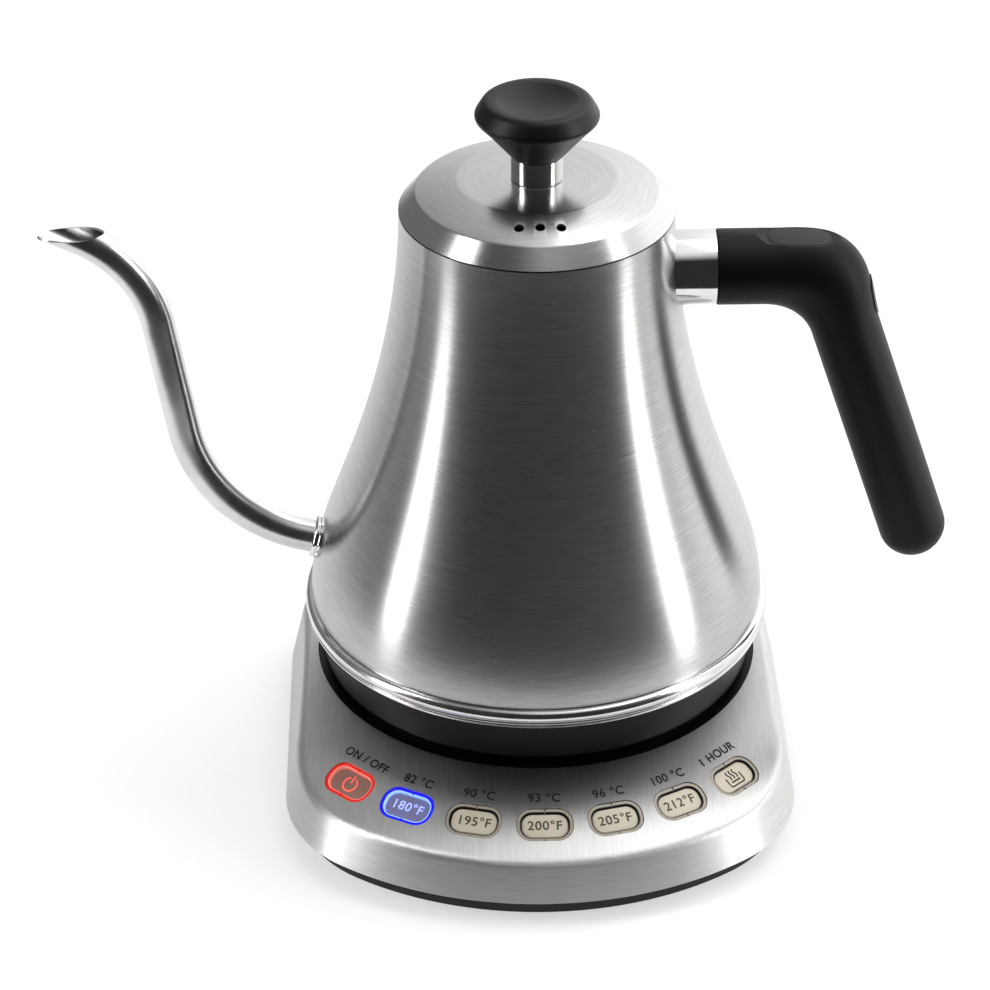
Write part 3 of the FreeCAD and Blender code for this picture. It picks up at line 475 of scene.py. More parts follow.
def brush_lines(tree, place, sizes):
    """Noise drawn out to given sizes in millimetres along X, Y and Z."""
    scales = tuple(per_mm(size) for size in sizes)
    drawn = add(tree, "Mapping", {"Vector": place, "Scale": scales}).outputs[0]
    inputs = {"Vector": drawn, "Scale": 1.0, "Detail": 4.0, "Roughness": 0.65}
    return add(tree, "TexNoise", inputs).outputs["Fac"]


def coloured(tree, shader, shade, dark, light, gloss, smooth, rough):
    """Colour between two hex values by one pattern, and roughness between two values by another."""
    colours = {0: shade, 6: linear(dark), 7: linear(light)}
    colour = add(tree, "Mix", colours, data_type="RGBA").outputs[2]
    spread = add(tree, "MapRange", {"Value": gloss, "To Min": smooth, "To Max": rough})
    tree.links.new(colour, shader.inputs["Base Color"])
    tree.links.new(spread.outputs[0], shader.inputs["Roughness"])
    return colour


# Materials

def brushed_stainless(name, dark, light, rough, anisotropy):
    """Brushed stainless sheet: fine short strokes round the axis, and long smears of light."""
    material, tree, shader = surface(name, Metallic=1.0, Anisotropic=anisotropy, Anisotropic_Rotation=0.25)
    place = add(tree, "TexCoord").outputs["Object"]
    split = add(tree, "SeparateXYZ", {0: place})
    across, along, up = split.outputs
    climb = add(tree, "Math", {0: up, 1: axis_distance(tree, split)}, operation="SUBTRACT").outputs[0]
    unrolled = add(tree, "CombineXYZ", {0: across, 1: along, 2: climb}).outputs[0]
    way = add(tree, "Tangent", direction_type="RADIAL", axis="Z").outputs[0]
    tree.links.new(way, shader.inputs["Tangent"])
    lines = brush_lines(tree, unrolled, (stroke_length, stroke_length, stroke_width))
    smears = add(tree, "TexNoise", {"Vector": unrolled, "Scale": per_mm(smear_length), "Detail": 2.0})
    both = add(tree, "Mix", {0: 0.5, 2: lines, 3: smears.outputs["Fac"]}, data_type="FLOAT").outputs[0]
    coloured(tree, shader, lines, dark, light, both, rough - 0.025, rough + 0.025)
    bumps = {"Height": lines, "Distance": stroke_depth * mm, "Strength": 0.006}
    tree.links.new(add(tree, "Bump", bumps).outputs[0], shader.inputs["Normal"])
    return material


def cover_stainless(name, dark, light, rough, anisotropy):
    """Brushed cover sheet: strokes up the slope on the panel and level on the walls, eased at the seat."""
    material, tree, shader = surface(name, Metallic=1.0, Anisotropic=anisotropy)
    place = add(tree, "TexCoord").outputs["Object"]
    facing = add(tree, "SeparateXYZ", {0: add(tree, "NewGeometry").outputs["Normal"]})
    panel = add(tree, "MapRange", {"Value": facing.outputs[2], "From Min": 0.55, "From Max": 0.8}).outputs[0]
    wall = add(tree, "Math", {0: 1.0, 1: panel}, operation="SUBTRACT").outputs[0]
    way = add(tree, "CombineXYZ", {0: panel, 2: wall}).outputs[0]
    tree.links.new(way, shader.inputs["Tangent"])
    level = brush_lines(tree, place, (stroke_length, stroke_length, stroke_width))
    sloping = brush_lines(tree, place, (stroke_width, stroke_length, stroke_length))
    lines = add(tree, "Mix", {0: panel, 2: level, 3: sloping}, data_type="FLOAT").outputs[0]
    coloured(tree, shader, lines, dark, light, lines, rough - 0.05, rough + 0.05)
    radius = axis_distance(tree, add(tree, "SeparateXYZ", {0: place}))
    inward = add(tree, "Math", {0: opening_radius + panel_ease, 1: radius}, operation="SUBTRACT").outputs[0]
    inward = add(tree, "Math", {0: inward, 1: 0.0}, operation="MAXIMUM").outputs[0]
    square = add(tree, "Math", {0: inward, 1: inward}, operation="MULTIPLY").outputs[0]
    steepness = -math.tan(panel_easing) / (2 * panel_ease)
    sink = add(tree, "Math", {0: square, 1: steepness}, operation="MULTIPLY").outputs[0]
    eased = add(tree, "Bump", {"Height": sink, "Distance": 1.0, "Strength": 1.0}).outputs[0]
    bumps = {"Height": lines, "Distance": stroke_depth * mm, "Strength": 0.15, "Normal": eased}
    tree.links.new(add(tree, "Bump", bumps).outputs[0], shader.inputs["Normal"])
    return material


def polished_metal(name, colour, rough):
    """Polished metal: near mirror or satin by its roughness, with faint buffing haze."""
    material, tree, shader = surface(name, Metallic=1.0)
    place = add(tree, "TexCoord").outputs["Object"]
    haze = add(tree, "TexNoise", {"Vector": place, "Scale": per_mm(9.0), "Detail": 4.0}).outputs["Fac"]
    coloured(tree, shader, haze, colour, "#ececeb", haze, rough - 0.03, rough + 0.04)
    return material


def moulded_plastic(name, dark, light, rough, grain, depth, shine=0.5):
    """Moulded plastic: a fine eroded grain, drawn coarse enough to show, and a slow drift in shade."""
    material, tree, shader = surface(name, Specular_IOR_Level=shine)
    place = add(tree, "TexCoord").outputs["Object"]
    fine = add(tree, "TexNoise", {"Vector": place, "Scale": per_mm(grain), "Detail": 3.0}).outputs["Fac"]
    slow = add(tree, "TexNoise", {"Vector": place, "Scale": per_mm(35.0), "Detail": 2.0}).outputs["Fac"]
    coloured(tree, shader, slow, dark, light, fine, rough - 0.08, rough + 0.08)
    bumps = {"Height": fine, "Distance": depth * mm, "Strength": 0.35}
    tree.links.new(add(tree, "Bump", bumps).outputs[0], shader.inputs["Normal"])
    return material


def cap_plastic(name, dark, light, glow=None, power=0.0):
    """Milky polycarbonate cap: light sinks in a little and the face is satin."""
    material, tree, shader = surface(name, IOR=1.58, Coat_Weight=0.15)
    shader.inputs["Subsurface Weight"].default_value = 0.15
    shader.inputs["Subsurface Scale"].default_value = 1.0 * mm
    place = add(tree, "TexCoord").outputs["Object"]
    cloud = add(tree, "TexNoise", {"Vector": place, "Scale": per_mm(5.0), "Detail": 3.0}).outputs["Fac"]
    coloured(tree, shader, cloud, dark, light, cloud, 0.32, 0.46)
    if glow:
        shader.inputs["Emission Color"].default_value = linear(glow)
        shader.inputs["Emission Strength"].default_value = power
    return material


def light_pipe(name, dark, light, power, rough=0.15):
    """Clear acrylic lit from below, a little uneven. The inner edge, nearest the lamp, has a paler one."""
    material, tree, shader = surface(name, IOR=1.49, Emission_Strength=power)
    place = add(tree, "TexCoord").outputs["Object"]
    drift = add(tree, "TexNoise", {"Vector": place, "Scale": per_mm(4.0), "Detail": 2.0}).outputs["Fac"]
    colour = coloured(tree, shader, drift, dark, light, drift, rough - 0.05, rough + 0.05)
    tree.links.new(colour, shader.inputs["Emission Color"])
    return material


def printed_ink(name, dark, light, glow=0.0):
    """Screen-printed ink, matt and a shade uneven, as it lies on the face."""
    material, tree, shader = surface(name, Specular_IOR_Level=0.15)
    place = add(tree, "TexCoord").outputs["Object"]
    patchy = add(tree, "TexNoise", {"Vector": place, "Scale": per_mm(0.8), "Detail": 2.0}).outputs["Fac"]
    colour = coloured(tree, shader, patchy, dark, light, patchy, 0.45, 0.65)
    if glow:
        tree.links.new(colour, shader.inputs["Emission Color"])
        shader.inputs["Emission Strength"].default_value = glow
    return material


body_steel = brushed_stainless("stainless_brushed_round", "#8c8c8b", "#e2e2e1", 0.28, 0.87)
lid_steel = brushed_stainless("stainless_brushed_lid", "#b2b2b1", "#e2e2e1", 0.22, 0.6)
cover_steel = cover_stainless("stainless_brushed_cover", "#b4b4b3", "#e8e8e7", 0.44, 0.75)
spout_steel = polished_metal("stainless_satin_spout", "#bdbdbc", 0.24)
bright_steel = polished_metal("stainless_polished", "#d4d4d3", 0.09)
rim_steel = polished_metal("stainless_rolled_rim", "#c8c8c7", 0.17)
soft_black = moulded_plastic("soft_touch_black", "#060606", "#0b0b0b", 0.5, 0.35, 0.02, 0.22)
knob_black = moulded_plastic("phenolic_black", "#070707", "#0c0c0c", 0.42, 0.3, 0.015, 0.32)
inlay_grey = moulded_plastic("textured_grey_inlay", "#161616", "#1f1f1f", 0.5, 0.4, 0.03, 0.35)
skirt_black = moulded_plastic("polypropylene_black_satin", "#040404", "#080808", 0.36, 0.4, 0.015, 0.22)
pan_black = moulded_plastic("abs_black_matt", "#0c0c0c", "#131313", 0.45, 0.4, 0.03, 0.35)
foot_rubber = moulded_plastic("rubber_black", "#161617", "#202022", 0.75, 0.5, 0.04)
nylon_black = moulded_plastic("nylon_black", "#111112", "#19191b", 0.45, 0.4, 0.02)
silicone_white = moulded_plastic("silicone_white", "#d8d7d2", "#e6e5e1", 0.5, 0.8, 0.02)
board_green = moulded_plastic("laminate_green", "#0f4a26", "#17613a", 0.35, 0.9, 0.02)
winding_yellow = moulded_plastic("polyester_tape_yellow", "#c9a531", "#dcba49", 0.4, 1.2, 0.03)
terminal_green = moulded_plastic("polyamide_green", "#1c6b40", "#268150", 0.45, 0.5, 0.02)
lamp_white = moulded_plastic("epoxy_white", "#dcdbd6", "#eeede9", 0.3, 0.6, 0.01)
brass = polished_metal("brass_plain", "#c79a4b", 0.25)
zinc = polished_metal("zinc_plated_steel", "#a9a9aa", 0.3)
aluminium = polished_metal("aluminium_cast", "#a8a8aa", 0.42)
sheath = polished_metal("oxidised_sheath", "#7a7672", 0.4)
cap_cream = cap_plastic("polycarbonate_cream", "#cfc4ae", "#ddd4c1")
cap_red = cap_plastic("polycarbonate_lit_red", "#86685c", "#937567", "#a33a2c", 0.12)
cap_blue = cap_plastic("polycarbonate_lit_blue", "#76748f", "#84829e", "#3c46c8", 0.15)
pipe_red = light_pipe("acrylic_lit_red", "#c8170c", "#e02a1c", 0.55)
pipe_blue = light_pipe("acrylic_lit_blue", "#0d06d8", "#1c14f4", 0.85)
pipe_red_edge = light_pipe("acrylic_lit_red_edge", "#f07a6e", "#f8a096", 0.55)
pipe_blue_edge = light_pipe("acrylic_lit_blue_edge", "#7fb4ff", "#b9dcff", 0.75)
# Painted shade: near-black colour on the inner edge and in the hollow of the unlit frames, for the dark
# shadowed outline round their caps
pipe_painted_shade = moulded_plastic("acrylic_painted_shade", "#191816", "#24221f", 0.2, 3.0, 0.004)
pipe_cream = moulded_plastic("acrylic_over_cream", "#a1988a", "#b0a797", 0.25, 3.0, 0.004)
ink_dark = printed_ink("ink_grey", "#4c4741", "#5a554d")
ink_panel = printed_ink("ink_black", "#121110", "#1d1c1b")
ink_red = printed_ink("ink_lit_red", "#f0453a", "#ff6a60", 0.9)
ink_blue = printed_ink("ink_lit_blue", "#8f9cff", "#b4c4ff", 0.8)


# Kettle

def shell_point(share):
    """Point on the shell's outer curve, from the foot to the neck."""
    poles = (
        (shell_foot, shell_low.z),
        (shell_foot, shell_low.z + belly_rise),
        (waist_radius, shell_low.z + waist_height),
        (shell_neck, shell_high.z - neck_rise),
        (shell_neck, shell_high.z),
    )
    weights = [math.comb(4, i) * share ** i * (1 - share) ** (4 - i) for i in range(5)]
    return tuple(sum(w * pole[axis] for w, pole in zip(weights, poles)) for axis in range(2))


def shell_radius(height):
    shares = [step / 2000 for step in range(2001)]
    return min((shell_point(s) for s in shares), key=lambda p: abs(p[1] - height))[0]


def make_shell():
    outer = [shell_point(step / curve_steps) for step in range(curve_steps + 1)]
    inner = [(radius - shell_wall, height) for radius, height in reversed(outer)]
    piece = turned("kettle_body", outer + inner)
    finished(piece, "kettle", body_steel, ["kettle_shell"])


def make_rim():
    """Rolled bead with a fine groove above its lower lip, and a narrow seam under the shell."""
    widest = rim_high.y
    inner = skirt_high.y + rim_play
    groove = rim_low.z + rim_lip_height
    lip_centre = (widest - rim_lip - rim_lip_round, rim_low.z + rim_lip_round)
    lip = arc(lip_centre, rim_lip_round, -90, 80, 6)
    belly = (rim_high.z - groove) / 2
    bead = arc((widest - belly, groove + belly), belly, -80, 62, 10)
    top = rim_high.z - rim_play
    seam = [(shell_foot - rim_seam, top), (inner, top)]
    profile = [(inner, rim_low.z), *lip, (widest - rim_groove, groove), *bead, *seam]
    finished(turned("rim_bead", profile), "kettle", rim_steel, ["rim_ring"])


def make_skirt():
    radius = skirt_high.y
    foot = arc((radius - skirt_round, skirt_low.z + skirt_round), skirt_round, -90, 0, 6)
    inner = radius - skirt_wall
    floor = skirt_low.z + skirt_wall
    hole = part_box("kettle_connector")[1].y - skirt_ledge
    wall = [(radius, skirt_high.z), (inner, skirt_high.z), (inner, floor), (hole, floor)]
    profile = [(hole, skirt_low.z), *foot, *wall]
    finished(turned("skirt_cup", profile), "kettle", skirt_black, ["skirt"])


def heading(angle):
    return Vector((-math.cos(angle), 0, math.sin(angle)))


def spout_root():
    """Point where the spout's axis meets the shell."""
    height = shell_low.z + spout_exit_height
    return Vector((-shell_radius(height), 0, height))


def make_spout():
    """Tube drawn straight, bent twice and cut level at its mouth."""
    start = spout_root() - spout_radius * heading(spout_exit)
    ready()
    bpy.ops.mesh.primitive_circle_add(vertices=spout_segments, radius=spout_radius, location=start,
                                      rotation=(0, spout_tilt, 0))
    piece = bpy.context.object
    piece.name = "spout_tube"
    bpy.ops.object.transform_apply()
    bpy.ops.object.mode_set(mode="EDIT")
    bpy.ops.mesh.select_all(action="SELECT")
    run = (spout_radius + spout_exit_run) * heading(spout_exit)
    bpy.ops.mesh.extrude_region_move(TRANSFORM_OT_translate={"value": run})
    here = start + run
    bends = ((spout_exit, spout_rise, spout_lower_bend, spout_rise_run),
             (spout_rise, spout_mouth, spout_upper_bend, spout_mouth_run))
    for angle, end_angle, radius, after in bends:
        sense = math.copysign(1.0, end_angle - angle)
        side = Vector((math.sin(angle), 0, math.cos(angle)))
        centre = here + sense * radius * side
        turn = end_angle - angle
        bpy.ops.mesh.spin(steps=spout_bend_steps, angle=-turn, center=centre, axis=(0, 1, 0),
                          use_auto_merge=False)
        here = centre + Matrix.Rotation(turn, 3, "Y") @ (here - centre)
        bpy.ops.mesh.extrude_region_move(TRANSFORM_OT_translate={"value": after * heading(end_angle)})
        here = here + after * heading(end_angle)
    bpy.ops.mesh.select_all(action="SELECT")
    bpy.ops.mesh.bisect(plane_co=(0, 0, spout_lip), plane_no=(0, 0, 1), clear_outer=True)
    close_up(piece)
    apply_modifier(piece, "SOLIDIFY", thickness=spout_wall, offset=-1.0)
    finished(piece, "kettle", spout_steel, ["spout"], 40.0)


def make_collar():
    """Ring at the root of the spout, with a fine groove round it."""
    radius = collar_radius
    round_end = arc((radius - collar_round, collar_length - collar_round), collar_round, 0, 90, 5)
    start, deepest, end = collar_groove
    groove = [(radius, start), (radius - collar_groove_depth, deepest), (radius, end)]
    foot = [(spout_radius, -collar_inset), (radius, -collar_inset)]
    profile = [*foot, *groove, *round_end, (spout_radius, collar_length)]
    collar = turned("spout_collar_ring", profile, 64)
    settle(collar, Matrix.Translation(spout_root()) @ Matrix.Rotation(spout_tilt, 4, "Y"))
    finished(collar, "kettle", bright_steel, ["spout_collar"])


# Handle

def make_ferrule():
    """Polished sleeve between the body and the grip, a little eased at its outer end."""
    length = ferrule_high.x - shell_neck
    inner = tube_radius - ferrule_wall
    end = arc((tube_radius - ferrule_ease, length - ferrule_ease), ferrule_ease, 0, 90, 3)
    profile = [(inner, -ferrule_tuck), (tube_radius, -ferrule_tuck), *end, (inner, length)]
    piece = turned("ferrule_sleeve", profile, 96)
    settle(piece, Matrix.Translation((shell_neck, 0, handle_axis)) @ Matrix.Rotation(math.pi / 2, 4, "Y"))
    finished(piece, "kettle", bright_steel, ["handle_ferrule"])


def elbow_centre():
    inner = handle_axis - tube_radius
    return Vector((elbow_reach - elbow_bend * math.tan(elbow_turn / 2), 0, inner - elbow_bend))


def oval(inner, outer, half_width, count=64):
    middle = (inner + outer) / 2
    across = (outer - inner) / 2
    angles = [full_turn * step / count for step in range(count)]
    return [middle + math.cos(a) * across + Vector((0, half_width * math.sin(a), 0)) for a in angles]


def elbow_oval(share):
    tilt = share * elbow_turn
    way = Vector((math.sin(tilt), 0, math.cos(tilt)))
    inner = elbow_centre() + elbow_bend * way
    bulge = elbow_bulge * math.sin(math.pi * share) ** 2
    depth = 2 * tube_radius * (1 - share) + grip_thickness * share + bulge
    half_width = tube_radius + (grip_width / 2 - tube_radius) * share
    return oval(inner, inner + depth * way, half_width)


def shrunk(ring, inset, shift):
    """Ring of points drawn in towards its middle by an inset and moved along."""
    middle = sum(ring, Vector()) / len(ring)
    places = []
    for point in ring:
        out = point - middle
        places.append(middle + out * max(1 - inset / out.length, 0.02) + shift)
    return places


def thumb_wedge():
    """Cutter for the thumb flat: a ramp down from the top of the tube, then a long gentle fall."""
    ready()
    bpy.ops.mesh.primitive_cube_add(size=1)
    wedge = bpy.context.object
    far = thumb_cut
    corners = {
        (-1, -1): Vector((thumb_start, 0, thumb_top)),
        (1, -1): thumb_flat + far * thumb_along,
        (-1, 1): Vector((thumb_start, 0, thumb_top + far)),
        (1, 1): Vector((thumb_start + thumb_ramp + far, 0, thumb_top + far)),
    }
    for point in wedge.data.vertices:
        place = corners[(int(math.copysign(1, point.co.x)), int(math.copysign(1, point.co.z)))]
        point.co = place + Vector((0, math.copysign(far, point.co.y), 0))
    pick_edges(wedge, lambda a, b: max(a.z, b.z) < thumb_top + far / 2 and abs(a.y - b.y) < mm)
    bpy.ops.mesh.subdivide(number_cuts=1)
    ready()
    for point in wedge.data.vertices:
        if point.co.z < thumb_top + far / 2 and thumb_start + mm < point.co.x < thumb_flat.x + far / 2 + mm:
            point.co = thumb_flat + Vector((0, point.co.y, 0))
    return wedge


def make_grip():
    """Level tube, elbow and grip in one moulding, with a flat pressed into the top for the thumb."""
    down = Vector((math.sin(grip_lean), 0, -math.cos(grip_lean)))
    first = elbow_oval(0.0)
    last = elbow_oval(1.0)
    start = grip_low.x - elbow_centre().x
    eased = Vector((start + grip_start_ease, 0, 0))
    sections = [shrunk(first, grip_start_ease, Vector((start, 0, 0))), [point + eased for point in first]]
    sections += [elbow_oval(step / elbow_steps) for step in range(elbow_steps + 1)]
    run = grip_length - elbow_bend * math.tan(elbow_turn / 2)
    for step in range(grip_end_steps + 1):
        angle = math.pi / 2 * step / grip_end_steps
        along = run - grip_end_round * (1 - math.sin(angle))
        sections.append(shrunk(last, grip_end_round * (1 - math.cos(angle)), along * down))
    grip = drawn_tube("grip_moulding", sections)
    wedge = thumb_wedge()
    apply_modifier(grip, "BOOLEAN", operation="DIFFERENCE", object=wedge, solver="EXACT")
    bpy.data.objects.remove(wedge)
    finished(grip, "kettle", soft_black, ["handle_grip"], 22.0)


def make_inlay():
    """Inlay let into the thumb flat."""
    inlay = rounded_block("thumb_inlay", inlay_length, inlay_width, inlay_end,
                          -inlay_sink, inlay_rise, inlay_round)
    up = Vector((math.sin(thumb_fall), 0, math.cos(thumb_fall)))
    place = Matrix((thumb_along, Vector((0, 1, 0)), up)).transposed().to_4x4()
    place.translation = thumb_flat + inlay_length / 2 * thumb_along
    settle(inlay, place)
    finished(inlay, "kettle", inlay_grey, ["thumb_rest"])


def make_plug():
    """Oval plug at the back of the elbow."""
    plug = smooth_copy("elbow_plug", "elbow_button")
    finished(plug, "kettle", inlay_grey, ["elbow_plug"])


# Lid and knob

def make_lid():
    """Turned dish with a wide bevel, a flat crown and three steam vents at the front."""
    crease = shell_neck - lid_bevel_width
    crease_height = lid_low.z + lid_bevel_height
    bevel = math.atan2(lid_bevel_height, lid_bevel_width)
    cone = math.atan2(lid_high.z - crease_height, crease - lid_crown)
    half = (bevel - cone) / 2
    back = lid_crease_round / math.cos(half)
    out = math.pi / 2 - (bevel + cone) / 2
    centre = (crease - back * math.cos(out), crease_height - back * math.sin(out))
    crease_arc = arc(centre, lid_crease_round, 90 - math.degrees(bevel), 90 - math.degrees(cone), 6)
    foot = [(shell_neck - lid_edge_ease, lid_low.z), (shell_neck, lid_low.z + lid_edge_ease)]
    crown_edge = (lid_crown + lid_crown_ease, lid_high.z - lid_crown_drop)
    top = [*foot, *crease_arc, crown_edge, (lid_crown - lid_crown_ease, lid_high.z)]
    under = lid_high.z - lid_wall
    inner = [(lid_screw_hole, lid_high.z), (lid_screw_hole, under), (lid_crown, under),
             (crease - lid_wall / 2, crease_height - lid_wall), (shell_neck - lid_seat, lid_low.z)]
    lid = turned("lid_dish", top + inner)
    for number in (-1, 0, 1):
        ready()
        place = (number * vent_pitch, -vent_place, crease_height)
        bpy.ops.mesh.primitive_cylinder_add(vertices=32, radius=vent_radius, depth=vent_drill, location=place)
        drill = bpy.context.object
        apply_modifier(lid, "BOOLEAN", operation="DIFFERENCE", object=drill, solver="EXACT")
        bpy.data.objects.remove(drill)
    finished(lid, "lid", lid_steel, ["lid_shell"])


def make_knob():
    """Waisted knob with a dished top."""
    low = knob_low.z
    top = knob_high.z
    ball = (knob_dish ** 2 + knob_dish_depth ** 2) / (2 * knob_dish_depth)
    dish = []
    for step in range(1, knob_dish_steps):
        radius = knob_dish * (1 - step / knob_dish_steps)
        sag = knob_dish_depth - ball + math.sqrt(ball ** 2 - radius ** 2)
        dish.append((radius, top - sag))
    side = softened([
        (knob_foot, low),
        (knob_crease, low + knob_crease_height),
        (knob_widest, low + knob_widest_height),
        (knob_top, top),
        (knob_dish, top),
        dish[0],
    ], knob_round)
    profile = [*side, *dish[1:], (knob_pole, top - knob_dish_depth), (knob_pole, low)]
    finished(turned("knob_moulding", profile, 128), "lid", knob_black, ["knob"], 40.0)


def make_stem():
    """Short polished sleeve that carries the knob."""
    outer = stem_high.y
    inner = outer - stem_wall
    eased = outer - stem_ease
    profile = [(inner, stem_low.z), (eased, stem_low.z), (outer, stem_low.z + stem_ease),
               (outer, stem_high.z - stem_ease), (eased, stem_high.z), (inner, stem_high.z)]
    finished(turned("stem_sleeve", profile, 96), "lid", bright_steel, ["knob_stem"])


# Base and buttons

def make_base():
    """Brushed cover on the black pan and seat."""
    cover = smooth_copy("base_top_cover", "base_cover")
    finished(cover, "base", cover_steel, ["base_top_cover"], 30.0)
    apply_modifier(cover, "WEIGHTED_NORMAL", keep_sharp=True)
    for node, name, material, slot in (("base_well", "seat_well", skirt_black, "black_satin_plastic"),
                                       ("base_pan", "base_tray", pan_black, "black_satin_plastic"),
                                       ("cord_gland", "cord_grommet", nylon_black, "black_satin_plastic")):
        finished(smooth_copy(node, name), "base", material, [node], 30.0)


def button_place(number):
    """Frame of one button: X along the row, Y up the slope, Z out of the panel."""
    angle = button_pitch * number - button_span
    outward = Vector((math.sin(angle), -math.cos(angle), 0))
    along = Vector((math.cos(angle), math.sin(angle), 0))
    normal = math.sin(panel_slope) * outward + math.cos(panel_slope) * Vector((0, 0, 1))
    place = Matrix((along, normal.cross(along), normal)).transposed().to_4x4()
    fall = (button_circle - opening_radius) * math.tan(panel_slope)
    place.translation = button_circle * outward + Vector((0, 0, cover_high.z - fall))
    return place


def make_ring(name, place, colours, wall, replaces):
    """Clear frame round a cap, with a colour for its face and its inner edge, split above and below."""
    outer = -2 * ring_play
    ring = rounded_block(name, window_length + outer, window_width + outer, window_corner - ring_play,
                         -ring_depth, -ring_recess, ring_top_round)
    for colour in colours:
        ring.data.materials.append(colour)
    pick_faces(ring, lambda middle, normal: normal.z > 0.99)
    bpy.ops.mesh.inset(thickness=ring_wall - ring_top_round - ring_edge)
    # Second colour on the inner edge: a paler lit edge on the lit frames, a near-black painted shade on the
    # unlit ones
    ring.active_material_index = 1
    bpy.ops.object.material_slot_assign()
    bpy.ops.mesh.inset(thickness=ring_edge)
    ring.active_material_index = wall
    bpy.ops.object.material_slot_assign()
    bpy.ops.mesh.extrude_region_move(TRANSFORM_OT_translate={"value": (0, 0, -ring_hollow)})
    bottom = -ring_recess - ring_split
    split = rounded_block("split", ring_split, 2 * window_width, ring_split / 3, bottom, ring_split)
    apply_modifier(ring, "BOOLEAN", operation="DIFFERENCE", object=split, solver="EXACT")
    bpy.data.objects.remove(split)
    finished(ring, "base", colours[0], replaces)
    settle(ring, place)
    return ring


def lettering(name, words, size, place, material, body, lift, bow=0.0):
    """Printed words, centred on a place and bowed to the curve of the face that they lie on."""
    ready()
    bpy.ops.object.text_add()
    text = bpy.context.object
    text.name = name
    text.data.body = words
    text.data.size = size
    text.data.align_x = "CENTER"
    text.data.align_y = "CENTER"
    text.data.extrude = ink / 2
    text.data.offset = bold
    text.data.space_character = letter_spacing
    bpy.ops.object.convert(target="MESH")
    for point in text.data.vertices:
        point.co.z -= bow * point.co.x ** 2 / 2
    settle(text, place @ Matrix.Translation((0, 0, lift)))
    close_up(text)
    finished(text, body, material)


def stroke(name, lines, width, place, material, body, lift):
    """Symbol drawn with flat round-ended strokes along lists of points."""
    curve = bpy.data.curves.new(name, "CURVE")
    curve.dimensions = "3D"
    curve.bevel_depth = width / 2
    curve.bevel_resolution = 2
    curve.use_fill_caps = True
    for points in lines:
        spline = curve.splines.new("POLY")
        spline.points.add(len(points) - 1)
        for point, (x, y) in zip(spline.points, points):
            point.co = (x, y, 0, 1)
    symbol = bpy.data.objects.new(name, curve)
    bpy.context.scene.collection.objects.link(symbol)
    ready()
    symbol.select_set(True)
    bpy.context.view_layer.objects.active = symbol
    bpy.ops.object.convert(target="MESH")
    symbol = bpy.context.object
    settle(symbol, place @ Matrix.Translation((0, 0, lift)) @ Matrix.Scale(symbol_flatness, 4, (0, 0, 1)))
    finished(symbol, body, material)


def power_symbol():
    """Ring with a gap at its top, in degrees, and a bar in the gap."""
    ring = []
    for step in range(33):
        angle = math.radians(90 + power_gap / 2 + (360 - power_gap) * step / 32)
        ring.append((power_radius * math.cos(angle), power_radius * math.sin(angle) - power_drop))
    return [ring, [(0, height) for height in power_bar]]


def warm_symbol():
    """Steam over a dish, on a grid of symbol units."""
    lines = [[(-2.4, 0.6), (-2.4, -1.6), (-2.0, -2.1), (2.0, -2.1), (2.4, -1.6), (2.4, 0.6)],
             [(-1.5, -1.0), (1.5, -1.0)]]
    for offset in (-1.1, 0.0, 1.1):
        wave = []
        for step in range(13):
            height = step / 12
            wave.append((offset + 0.28 * math.sin(full_turn * height), -0.4 + 2.6 * height))
        lines.append(wave)
    return [[(x * symbol_unit, y * symbol_unit) for x, y in line] for line in lines]


def make_cap(name, place, node):
    """Cap of one button, with its number or symbol."""
    lit = {"power": (cap_red, "cap_power"), "180": (cap_blue, "cap_preset")}
    material, slot = lit.get(name, (cap_cream, "cap_cream"))
    length = window_length - 2 * cap_margin
    width = window_width - 2 * cap_margin
    corner = window_corner - cap_margin
    bottom = -cap_recess - cap_depth
    cap = rounded_block("cap_" + name, length, width, corner, bottom, -cap_recess, cap_round)
    settle(cap, place)
    finished(cap, node, material, [node])
    lift = -cap_recess + ink
    if name == "power":
        stroke("power_mark", power_symbol(), symbol_line, place, ink_red, node, lift)
    elif name == "hold":
        stroke("warm_mark", warm_symbol(), symbol_line, place, ink_panel, node, lift)
    else:
        print_ink = ink_blue if name == "180" else ink_dark
        lettering("number_" + name, name + "°F", number_size, place, print_ink, node, lift)


def make_buttons():
    """Caps, their frames and the marks above them. The first preset is lit, like the power button."""
    red = (pipe_red, pipe_red_edge)
    blue = (pipe_blue, pipe_blue_edge)
    # Unlit frames: cream face, with a near-black painted shade on the inner edge and in the hollow
    clear = (pipe_cream, pipe_painted_shade)
    for number, name in enumerate(button_names):
        place = button_place(number)
        make_cap(name, place, "button_" + name)
        if name == "power":
            make_ring("power_frame", place, red, 0, ["power_light_ring"])
        elif name == "180":
            make_ring("preset_frame", place, blue, 0, ["preset_light_ring"])
        else:
            make_ring("clear_frame_" + name, place, clear, 1, [])
        above = place @ Matrix.Translation((0, mark_rise, 0))
        lettering("panel_mark_" + name, panel_marks[number], mark_size, above, ink_panel, "base",
                  ink, mark_bow)
    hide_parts("unlit_light_rings")


